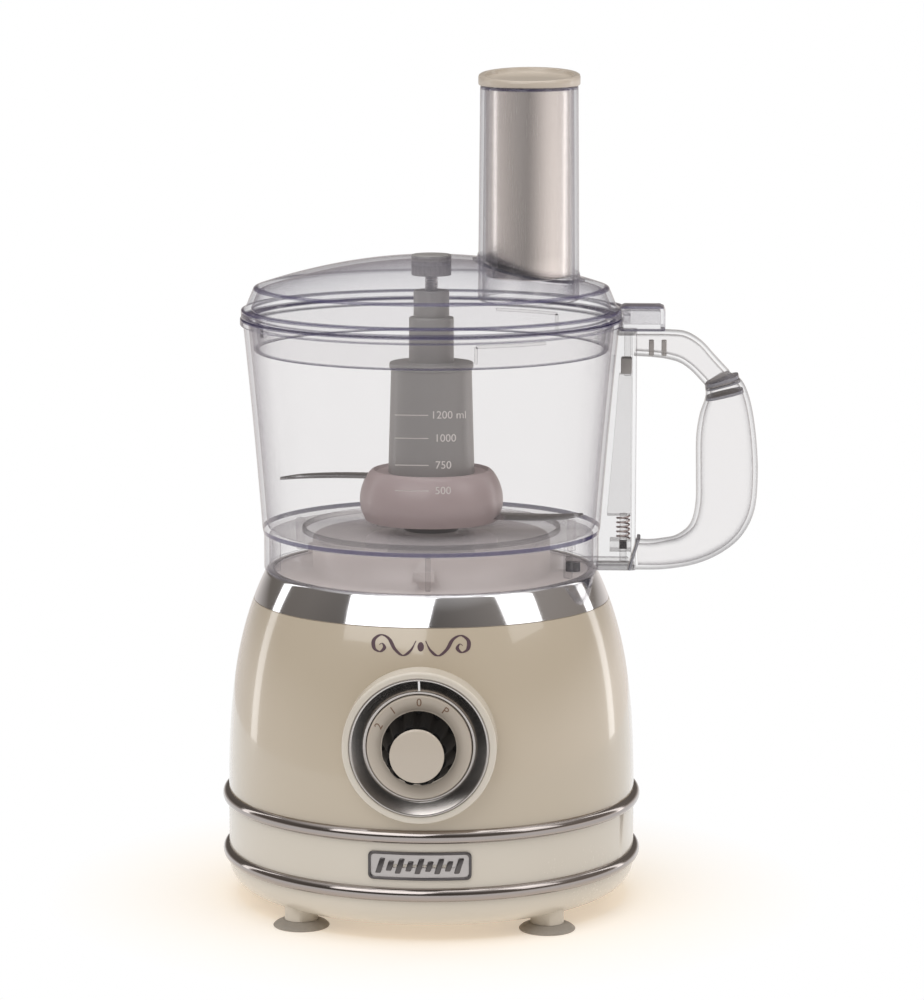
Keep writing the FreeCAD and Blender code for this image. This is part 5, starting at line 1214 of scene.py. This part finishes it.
    def build_handle(self) -> None:
        """The arm, the grip, the ferrule where they meet and the seam at the column."""
        outer = smooth_curve([(96.5, 277.0), (106, 277.0), (114, 276.9), (121.5, 276.0), (128.6, 271.8),
                              (135.2, 264.8), (142.0, 257.5)], 60)
        inner = smooth_curve([(96.5, 265.0), (104, 264.6), (111.3, 263.8), (118.0, 262.0), (123.2, 258.6),
                              (127.4, 254.4), (130.6, 250.9)], 60)
        self.build_limb("handle_arm", inner, outer, np.full(60, self.arm_half), 5.0)
        outer = smooth_curve([(141.9, 257.2), (148.4, 252.4), (152.4, 242.0), (155.0, 226.0), (156.0, 208.0),
                              (154.6, 191.0), (148.6, 178.6), (139.0, 170.4), (127.0, 165.0), (112.0, 162.2),
                              (98.05, 161.7)], 110)
        inner = smooth_curve([(130.3, 250.8), (130.6, 245.0), (127.8, 236.0), (126.4, 225.0), (126.5, 208.0),
                              (126.4, 194.0), (123.8, 183.6), (117.4, 178.0), (110.5, 176.4), (104.0, 175.8),
                              (98.05, 176.3)], 110)
        t = np.linspace(0, 1, 110)
        half = np.interp(t, [0, 0.06, 0.16, 0.7, 0.85, 1.0],
                         [10.4, 11.6, self.grip_half, self.grip_half, 11.0, 9.0])
        self.build_limb("grip", inner, outer, half, 2.8, ["handle_grip"])
        bands = []
        for start, end in ((0.0, 0.16), (0.30, 0.40), (0.84, 1.0)):
            share = np.linspace(start, end, 3)[:, None]
            outer = np.array([146.4, 256.4]) * (1 - share) + np.array([149.1, 248.0]) * share
            inner = np.array([130.5, 251.5]) * (1 - share) + np.array([130.4, 243.6]) * share
            move = (outer - inner) / np.linalg.norm(outer - inner, axis=1, keepdims=True) * 0.25
            bands.append(limb(inner + move, outer - move, np.full(3, 10.9), 36, 3.2))
        place("ferrule", joined(bands), self.finish.violet_clear, Body.BOWL, Slot.CLEAR)
        tabs = [slab((x, -4, 265.0), (x + 2.4, 4, 272.0), 0.4) for x in (103.6, 109.6)]
        place("arm_tabs", joined(tabs), self.finish.pale_grey, Body.BOWL, Slot.CLEAR)
        seam = limb(np.array([(100.3, 177.0), (99.0, 173.0), (95.7, 162.2)]),
                    np.array([(98.6, 177.2), (97.4, 173.2), (94.2, 162.6)]), np.full(3, 8.9), 24, 4.0)
        place("grip_seam", seam, self.finish.violet_clear, Body.BOWL, Slot.CLEAR)

    def build_rod(self) -> None:
        """The interlock's rod, its spring and the seat that carries it."""
        half, x1, pin_radius = 4, 95.5, 1.7
        rows = [at_level(rectangle(x0, x1, -half, half, 0.8), z) for z, x0 in (
            (188.0, 84.4), (189.0, 84.2), (222.0, 87.0), (254.6, 89.4), (256.0, 89.7))]
        pin_line = [(0, 255, 0), (pin_radius, 255, 0), (pin_radius, 277.2, 0.6), (0, 277.2, 0)]
        stem_line = [(0, 165.4, 0), (pin_radius, 165.4, 0), (pin_radius, 188.6, 0), (0, 188.6, 0)]
        pin = revolve(eased(pin_line, steps=3), 24).moved(x=93.6)
        stem = revolve(eased(stem_line), 24).moved(x=92.0)
        foot = slab((64.5, -3, 164.9), (94.6, 3, 167.3), 0.5)
        place("interlock_slide", joined([loft(rows), pin, stem, foot]), self.finish.grey_clear, Body.ROD,
              Slot.CLEAR, ["interlock_rod"])
        block = slab((90.4, -4.3, 256.3), (95.6, 4.3, 263.8), 0.6)
        place("slide_head", block, self.finish.pale_grey, Body.ROD, Slot.CLEAR)

    def build_graduations(self) -> None:
        """Printed measuring marks on the bowl's front: a numeral and a line for each level."""
        def lay_at(x: float, level: float) -> Callable[[Points], Points]:
            """A layer that puts flat points on the wall round a spot."""
            def lay(flat: Points) -> Points:
                """Wraps flat points on the wall."""
                z = flat[:, 1] + level
                r = self.outer(z) + 0.06
                a = (flat[:, 0] + x) / r
                return np.stack([r * np.sin(a), -r * np.cos(a), z], axis=1)
            return lay

        left, right, half = -12.0, 3.4, 0.2
        edge = subdivided(np.array([[left, -half], [right, -half], [right, half], [left, half]]), 1.6)
        shrunk, proud = edge * np.array([0.98, 0.5]), np.array([1.001, 1.001, 1.0])
        ticks = []
        for text, x, level in (("1200 ml", 12.8, 246.8), ("1000", 11.2, 236.0), ("750", 10.2, 223.4),
                               ("500", 10.0, 211.4)):
            lettering("level_" + text.replace(" ", "_"), text, 3.6, lay_at(x, level), self.finish.faint_ink,
                      Body.BOWL, Slot.CLEAR)
            lay = lay_at(0.0, level)
            ticks.append(loft([lay(edge), lay(edge) * proud, lay(shrunk) * proud]))
        place("level_lines", joined(ticks), self.finish.faint_ink, Body.BOWL, Slot.CLEAR)

    def build(self) -> None:
        """All of the bowl."""
        self.build_shell()
        self.build_column()
        self.build_handle()
        self.build_rod()
        self.build_graduations()


@dataclass
class ClearLid:
    """Clear lid: dome, shoulder, flange and skirt, feed tube, tongue over the handle, bush."""
    finish: Finishes
    seat: float = 282.8
    shoulder_radius: float = 84.0
    dome_top: float = 312.0
    wall: float = 2.2
    tube_x: float = 46.3
    tube_half: tuple[float, float] = (23.2, 30.0)
    tube_draft: float = 0.9
    tube_wall: float = 2.0
    tube_foot: float = 291.5
    tube_top: float = 392.5
    gate_lift: float = 1.1
    ramp_arc: tuple[float, float] = (6.6, 23.0)
    ramp_slope: float = 0.155

    def dome(self, radius: Points) -> Points:
        """The dome's level at a radius: its top less 14.5 (r / 83.4)^1.909."""
        return self.dome_top - 14.5 * (radius / 83.4) ** 1.909

    def build_dome(self) -> None:
        """The lid round its feed opening.

        Each spoke starts on the feed opening's oval, runs over the dome to the shoulder, down to the
        flange and skirt, and back under the dome to the oval. On the dome, a point is
        (1 - s) oval + s circle.
        """
        a = np.radians(np.linspace(0, 360, 240, endpoint=False))
        circle = self.shoulder_radius * np.stack([np.cos(a), np.sin(a)], 1)
        away = circle - np.array([self.tube_x, 0])
        away /= np.linalg.norm(away, axis=1, keepdims=True)
        half = np.array(self.tube_half) + self.tube_draft - 0.6
        oval = away / np.linalg.norm(away / half, axis=1, keepdims=True) + np.array([self.tube_x, 0])
        s = np.linspace(0, 1, 28)[:, None, None]

        def roof(reach: float, drop: float) -> Points:
            """Rows of points from the oval to a circle on the dome, lowered by a distance."""
            xy = (1 - s) * oval + s * circle * (reach / self.shoulder_radius)
            level = self.dome(np.linalg.norm(xy, axis=2)) - drop
            return np.concatenate([xy, level[:, :, None]], axis=2)

        rim = eased([(83.4, 297.5, 0), (84.6, 297.1, 0.8), (85.2, 295.6, 0.5), (88.7, 287.2, 0.8),
                     (90.7, 286.6, 0.5),
                     (90.7, self.seat, 0.5), (86.7, self.seat, 0.3), (84.6, 267.0, 0.6), (82.2, 267.0, 0.6),
                     (84.3, 283.5, 1.0), (86.0, 287.0, 1.0), (82.6, 295.4, 0.8), (81.0, 296.0, 0)],
                    closed=False, steps=4)
        unit = circle / self.shoulder_radius
        rim_rows = np.stack([at_level(unit * r, h) for r, h in rim])
        rows = np.concatenate([roof(83.2, 0.0), rim_rows, roof(80.6, self.wall)[::-1]])
        place("lid_dome", skin(rows, True), self.finish.clear_lid, Body.LID, Slot.CLEAR, ["lid"], 50)

    def oval_rings(self, steps: Sequence[tuple[float, float]], half: tuple[float, float],
                   count: int = 128) -> Points:
        """Oval rings at (inset, level) steps round the feed tube's axis."""
        a = full_turn(count)
        rings = []
        for inset, z in steps:
            spread = self.tube_draft * (self.tube_top - z) / (self.tube_top - self.tube_foot) - inset
            rings.append(np.stack([self.tube_x + (half[0] + spread) * np.cos(a),
                                   (half[1] + spread) * np.sin(a), np.full(count, z)], axis=1))
        return np.array(rings)

    def build_tube(self) -> None:
        """The feed tube with an eased mouth."""
        w, low, top = self.tube_wall, self.tube_foot, self.tube_top
        levels = np.linspace(low, top - 0.7, 12)
        steps = [(0.0, float(z)) for z in levels]
        steps += [(0.15, top - 0.2), (0.6, top), (w - 0.6, top), (w - 0.15, top - 0.2)]
        steps += [(w, float(z)) for z in levels[::-1]]
        rings = self.oval_rings(steps, self.tube_half)
        place("feed_tube", skin(rings, True), self.finish.clear_tube, Body.LID, Slot.CLEAR, (), 50)
        a = full_turn(128)
        rows = []
        for out, lift in ((0.1, 2.6), (0.5, 0.9), (1.3, 0.25), (2.6, 0.05), (2.6, -0.6), (0.2, -0.6)):
            x = self.tube_x + (self.tube_half[0] + self.tube_draft + out) * np.cos(a)
            y = (self.tube_half[1] + self.tube_draft + out) * np.sin(a)
            rows.append(np.stack([x, y, self.dome(np.hypot(x, y)) + lift], axis=1))
        place("tube_fillet", skin(np.array(rows), True), self.finish.clear_lid, Body.LID, Slot.CLEAR)

    def build_fittings(self) -> None:
        """The tongue, the ramp's band, the hooked ribs and the fluted bush.

        The tongue's wall on +Y ends a little higher, and the ramp's underside climbs along its arc,
        so that both pass over the rod's pin when the lid turns.
        """
        tongue = hollow_box((89.2, -11, 277.5), (111.3, 11, 288.9), self.wall, 2.6)
        gate = (tongue.points[:, 2] < 278.2) & (tongue.points[:, 1] > 8.0)
        tongue.points[gate, 2] += self.gate_lift
        place("lid_tongue", tongue, self.finish.milky_clear, Body.LID, Slot.CLEAR)
        band = eased([(92.2, 278.8, 0.3), (95.4, 278.8, 0.3), (95.4, 286.2, 0.6), (89.8, 286.2, 0.4),
                      (89.8, 284.2, 0.3), (92.2, 284.2, 0.3)], steps=3)
        start, end = self.ramp_arc
        ramp = arc_bar(band, start, end)
        angle = np.degrees(np.arctan2(ramp.points[:, 1], ramp.points[:, 0]))
        under = ramp.points[:, 2] < 280.0
        ramp.points[under, 2] += self.ramp_slope * (angle[under] - start)
        place("ramp_band", ramp, self.finish.clear_lid, Body.LID, Slot.CLEAR)
        profile = eased([(84.9, 277.0, 0.2), (86.3, 277.0, 0.2), (86.3, 278.4, 0.3), (84.9, 278.4, 0.3)],
                        steps=2)
        rib = slab((84.6, -0.65, 269.8), (86.2, 0.65, 277.6), 0.3)
        hooks = joined([arc_bar(profile, at, at + 24.0) + rib.turned(at) for at in (-73.0, 47.0, 167.0)])
        place("lid_hooks", hooks, self.finish.clear_thick, Body.LID, Slot.CLEAR)
        line = eased([(3.3, 302.6, 0.2), (9.5, 302.6, 0.4), (9.5, 312.6, 0.9), (0.2, 312.6, 0),
                      (0.2, 310.2, 0), (3.3, 310.2, 0)])
        flutes, deep = 24, 0.4
        a = full_turn(flutes * 8)
        wave = np.clip(np.cos(flutes * a), 0, 1) ** 3 * deep
        edge = np.clip(line[:, 0] - 8.4, 0, 1) * (line[:, 1] < 311.6)
        bush = skin(swept(a, line[None, :, 0] - wave[:, None] * edge[None, :], line[:, 1]), True)
        place("fluted_bush", bush, self.finish.hub, Body.BUSH, Slot.HUB, ["lid_bush"])

    def build(self) -> None:
        """All of the lid."""
        self.build_dome()
        self.build_tube()
        self.build_fittings()


@dataclass
class FoodPusher:
    """Satin sleeve in the feed tube under a cream cap that slopes up to the back."""
    finish: Finishes
    tube_x: float = 46.3
    sleeve_half: tuple[float, float] = (20.5, 27.3)
    sleeve_wall: float = 1.6
    sleeve_low: float = 302.5
    sleeve_top: float = 393.8
    cap_half: tuple[float, float] = (24.1, 30.9)
    cap_low: float = 392.8
    cap_band: float = 3.2
    cap_tilt: float = 4.0
    cap_dish: float = 2.2

    def ring(self, half: tuple[float, float], inset: float, level: float, tilt: float = 0.0) -> Points:
        """An oval ring that rises by the tilt from front to back."""
        a = full_turn(128)
        y = (half[1] - inset) * np.sin(a)
        z = level + tilt * (y + self.cap_half[1]) / (2 * self.cap_half[1])
        return np.stack([self.tube_x + (half[0] - inset) * np.cos(a), y, z], axis=1)

    def build(self) -> None:
        """The sleeve and the cap."""
        h, w = self.sleeve_half, self.sleeve_wall
        rows = [self.ring(h, 0.8, self.sleeve_low), self.ring(h, 0.2, self.sleeve_low + 0.4)]
        rows += [self.ring(h, 0.0, z) for z in np.linspace(self.sleeve_low + 1.2, self.sleeve_top, 10)]
        rows += [self.ring(h, w, self.sleeve_top), self.ring(h, w, self.sleeve_low + 2.0)]
        place("pusher_body", loft(rows), self.finish.satin, Body.PUSHER, Slot.SATIN, ["pusher_sleeve"])
        c, low, top = self.cap_half, self.cap_low, self.cap_low + self.cap_band
        tilt, dish = self.cap_tilt, self.cap_dish
        rows = [self.ring(c, inset, level) for inset, level in (
            (5.4, low - 8.0), (5.4, low), (0.5, low), (0.0, low + 0.6))]
        rows += [self.ring(c, inset, level, tilt) for inset, level in (
            (0.0, top - 1.2), (0.25, top - 0.4), (0.9, top), (2.3, top), (3.0, top - 0.3),
            (3.4, top - dish + 0.4), (4.0, top - dish), (9.0, top - dish), (15.0, top - dish),
            (20.0, top - dish))]
        place("pusher_lid", loft(rows), self.finish.cream, Body.PUSHER, Slot.IVORY, ["pusher_cap"])


@dataclass
class CuttingBlade:
    """Grey spindle with its barrel-shaped hub and two curved steel blades."""
    finish: Finishes
    foot_radius: float = 20.6
    top_radius: float = 19.3
    foot: float = 183.2
    top: float = 261.0
    drum_low: float = 185.0
    drum_top: float = 209.0
    reach: float = 74.0
    thickness: float = 1.4

    def blade(self, level: float, lift: float) -> Surface:
        """One blade along +X, ground to an edge on its leading side.

        Its plan lies between two curves from the hub to the tip; across it, the top slopes down to
        the cutting edge over the outer third.

        Args:
            level: Underside at the hub.
            lift: Rise towards the tip in degrees.
        Returns:
            The blade.
        """
        r = self.foot_radius + 0.4
        reach = self.reach
        lead = smooth_curve([(r, -7.5), (reach * 0.45, -13.6), (reach * 0.66, -15.5), (reach * 0.86, -11.2),
                             (reach * 0.985, 1.0)], 40)
        trail = smooth_curve([(r, 8.0), (reach * 0.40, 3.4), (reach * 0.62, -0.5), (reach * 0.82, -1.0),
                              (reach * 0.975, 1.6)], 40)
        t = self.thickness
        rows = []
        for share, height in ((0.0, 0.1), (0.28, t), (0.97, t), (1.0, t - 0.25), (1.0, 0.25), (0.97, 0.0),
                              (0.02, 0.0)):
            xy = lead + (trail - lead) * share
            z = level + height + (xy[:, 0] - r) * math.tan(math.radians(lift))
            rows.append(np.column_stack([xy, z]))
        return loft(np.stack(rows, axis=1))

    def build(self) -> None:
        """The spindle, hub and blades."""
        t, foot, wide = self.top, self.foot_radius, self.top_radius + 0.8
        neck, nose, bore = 10.7, 8.5, 3.05
        spindle = eased([(18.4, self.foot, 0.3), (foot, self.foot, 0.6), (foot, 210, 0),
                         (self.top_radius, t - 3.2, 0.4), (wide, t - 2.6, 0.3), (wide, t, 0.8),
                         (neck, t, 0.5),
                         (neck, 282.6, 0.8), (nose, 282.6, 0.4), (nose, 295.5, 0.9), (bore, 295.5, 0.2),
                         (bore, 281.5, 0), (0.1, 281.5, 0), (0.1, 258.5, 0), (17.1, 258.5, 0.5)])
        place("spindle", revolve(spindle, 96), self.finish.hub, Body.BLADE, Slot.HUB, ["blade_column"])
        low, seat, bore = self.drum_low, self.drum_top - 1.0, 20.7
        bulge = smooth_curve([(31.7, 185.2), (33.9, 190.5), (34.3, 196.5), (32.9, 202.5), (30.4, 207.2),
                              (28.5, 209.2)], 24)
        line = np.vstack([[[bore, low], [31.2, low]], bulge, [[27.6, 209.4], [26.5, seat], [bore, seat]]])
        place("blade_hub", revolve(line, 128), self.finish.drum, Body.BLADE, Slot.DRUM, ["blade_drum"], 35)
        place("high_blade", self.blade(205.0, -1.5).turned(180.0), self.finish.steel, Body.BLADE, Slot.BLADE,
              ["upper_blade"])
        place("low_blade", self.blade(187.0, 0.0), self.finish.steel, Body.BLADE, Slot.BLADE, ["lower_blade"])


@dataclass
class Workings:
    """Everything inside the base, and small parts whose frame shape is kept."""
    finish: Finishes
    kept: dict[str, str] = field(default_factory=lambda: {
        "top_deck": "deck", "rod_seat": "grey_clear", "rod_spring": "spring_wire", "bowl_sleeve": "hub",
        "interlock_button": "dark", "button_spring": "machine_steel", "safety_switch": "dark",
        "chassis_plate": "alloy", "chassis_screws": "machine_steel", "housing_screws": "machine_steel",
        "drive_gear": "nylon", "drive_shaft": "machine_steel", "gear_bearing": "machine_steel",
        "shaft_bushes": "bronze", "shaft_seal": "dark", "pinion": "machine_steel",
        "motor_shaft": "machine_steel",
        "motor_bearing_upper": "machine_steel", "motor_bearing_lower": "machine_steel",
        "stator_core": "lamination", "stator_coils": "copper", "armature_core": "lamination",
        "armature_windings": "copper", "commutator": "copper", "cooling_fan": "black",
        "motor_bracket": "alloy",
        "brush_holders": "dark", "carbon_brushes": "dark", "motor_screws": "machine_steel",
        "suppressor_capacitor": "dark", "dial_shaft": "machine_steel", "rotary_switch": "dark",
        "drive_insert": "nylon", "spindle_pin": "machine_steel"})

    def build(self) -> None:
        """Dresses the kept nodes and puts welded copies of the ones that show in their place."""
        shown = {"top_deck": Slot.DECK, "rod_spring": Slot.SPRING, "bowl_sleeve": Slot.HUB,
                 "rod_seat": Slot.CLEAR}
        for node, finish in self.kept.items():
            material = getattr(self.finish, finish)
            if node in shown:
                body = Body(frame["nodes"][node]["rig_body"])
                mount(welded_copy(node, node + "_smooth"), material, body, shown[node], [node])
            else:
                dress(frame["nodes"][node], material)
            log.info("%s: dressed", node)


@dataclass
class Studio:
    """Pale floor, white surroundings, soft boxes and the camera.

    Places of the camera and the lights are metres; the floor's sizes and the painted shadow on it
    are millimetres.
    """
    distance: float = 1.8717
    height: float = 0.4855
    azimuth: float = 3.2
    pitch: float = 8.55
    lens: float = 142.1
    shift: tuple[float, float] = (0.0306, -0.0203)
    floor_radius: float = 620.0
    floor_thickness: float = 6.0
    painted_shadow_back: float = 10.0
    painted_shadow_radius: float = 94.0
    painted_shadow_fade: float = 95.0
    light_distance: float = 1.6
    light_target: float = 0.17

    def build_floor(self) -> None:
        """A round floor: a painted cream shadow round the machine, which the lamps also light, glowing as
        white as the surroundings further out.
        """
        g = Graph("pale floor")
        x, y, _ = g.axes()
        white: Colour = (1.0, 1.0, 1.0, 1.0)
        # Painted shadow: a cream pool with less glow round the machine, fading out to the white floor further
        # away.
        back = y - self.painted_shadow_back
        far = ((x * x + back * back) ** 0.5 - self.painted_shadow_radius) / self.painted_shadow_fade
        share = far.clamped() ** 0.6
        colour = g.mix(share, srgb(222, 211, 194), (0.0, 0.0, 0.0, 1.0))
        painted_glow = g.mix(share, (0.38, 0.345, 0.30, 1.0), white)
        material = g.finish(g.principled({"Base Color": colour, "Roughness": 0.7 + g.noise(30.0) * 0.05,
                                          "Specular IOR Level": 0.0, "Emission Color": painted_glow,
                                          "Emission Strength": 1.0}))
        edge, thick, middle = self.floor_radius, self.floor_thickness, 0.01
        line = np.array([[middle, 0.0], [300.0, 0.0], [edge, 0.0], [edge, -thick], [middle, -thick]])
        floor = mesh_piece("floor", revolve(line, 96))
        dress(floor, material)

    def soft_box(self, name: str, azimuth: float, elevation: float, size: tuple[float, float],
                 power: float) -> None:
        """A rectangular light that faces the machine.

        Args:
            name: The light's name.
            azimuth: Degrees to the right of the camera's side, seen from the machine.
            elevation: Degrees above the level of the bell's top.
            size: Width and height in metres.
            power: Watts.
        """
        lamp = bpy.data.lights.new(name, "AREA")
        lamp.shape, lamp.energy = "RECTANGLE", power
        lamp.size, lamp.size_y = size
        box = bpy.data.objects.new(name, lamp)
        bpy.context.scene.collection.objects.link(box)
        a, e = math.radians(azimuth + self.azimuth), math.radians(elevation)
        target = Vector((0.0, 0.0, self.light_target))
        away = Vector((math.sin(a) * math.cos(e), -math.cos(a) * math.cos(e), math.sin(e)))
        box.location = target + away * self.light_distance
        box.rotation_euler = away.to_track_quat("Z", "Y").to_euler()
        box.visible_camera = False

    def build_lights(self) -> None:
        """The soft boxes, and surroundings that are white to the camera and shaded to everything else."""
        for name, azimuth, elevation, size, power in (
                ("left_box", -31.0, 38.0, (1.5, 1.0), 10.0), ("right_box", 64.0, 36.0, (0.7, 1.0), 3.6),
                ("top_box", 0.0, 82.0, (1.2, 1.2), 4.0), ("left_strip", -118.0, 14.0, (0.22, 1.5), 2.0),
                ("right_strip", 122.0, 14.0, (0.22, 1.5), 2.0)):
            self.soft_box(name, azimuth, elevation, size, power)
        world = bpy.data.worlds.new("surroundings")
        bpy.context.scene.world = world
        g = Graph("surroundings", world)
        ray = g.node("ShaderNodeTexCoord", {}, {})[g.GENERATED_PLACE]
        x, y, z = g.node("ShaderNodeSeparateXYZ", {}, {"Vector": ray})
        stops = ((0.0, (0.62, 0.58, 0.55, 1.0)), (0.46, (0.40, 0.375, 0.36, 1.0)),
                 (0.56, (0.085, 0.075, 0.066, 1.0)), (0.80, (0.11, 0.10, 0.092, 1.0)),
                 (0.97, (0.62, 0.61, 0.60, 1.0)))
        height = g.node("ShaderNodeValToRGB", {"stops": stops}, {"Fac": z * 0.5 + 0.5})[0]
        front = (0.0 - y).clamped()
        side = (1.0 - front) * 0.95 + 0.85 + x.clamped() * 1.2
        shade = g.node("ShaderNodeBackground", {}, {"Color": height, "Strength": side})[0]
        white = g.node("ShaderNodeBackground", {}, {"Color": (1.0, 1.0, 1.0, 1.0), "Strength": 1.0})[0]
        by_camera = g.node("ShaderNodeLightPath", {}, {})[0]
        g.finish(g.shader_mix(by_camera, shade, white))

    def build_camera(self) -> None:
        """The camera, level with the dial's right side and looking a little down."""
        data = bpy.data.cameras.new("studio_camera")
        data.lens, data.sensor_width = self.lens, 36.0
        data.shift_x, data.shift_y = self.shift
        data.clip_start, data.clip_end = 0.05, 50.0
        camera = bpy.data.objects.new("studio_camera", data)
        bpy.context.scene.collection.objects.link(camera)
        a = math.radians(self.azimuth)
        camera.location = (self.distance * math.sin(a), -self.distance * math.cos(a), self.height)
        camera.rotation_euler = (math.radians(90.0 - self.pitch), 0.0, a)
        bpy.context.scene.camera = camera
        bpy.context.scene.view_settings.view_transform = "Standard"

    def build(self) -> None:
        """The whole set."""
        self.build_camera()
        self.build_floor()
        self.build_lights()


def main() -> None:
    """Builds the set and each sub-assembly in order."""
    logging.basicConfig(level=logging.INFO, format="%(name)s: %(message)s")
    Studio().build()
    finish = Finishes()
    for part in (MotorBase(finish), DialControl(finish), ClearBowl(finish), ClearLid(finish),
                 FoodPusher(finish), CuttingBlade(finish), Workings(finish)):
        log.info("building %s", type(part).__name__)
        part.build()


if __name__ == "__main__":
    main()
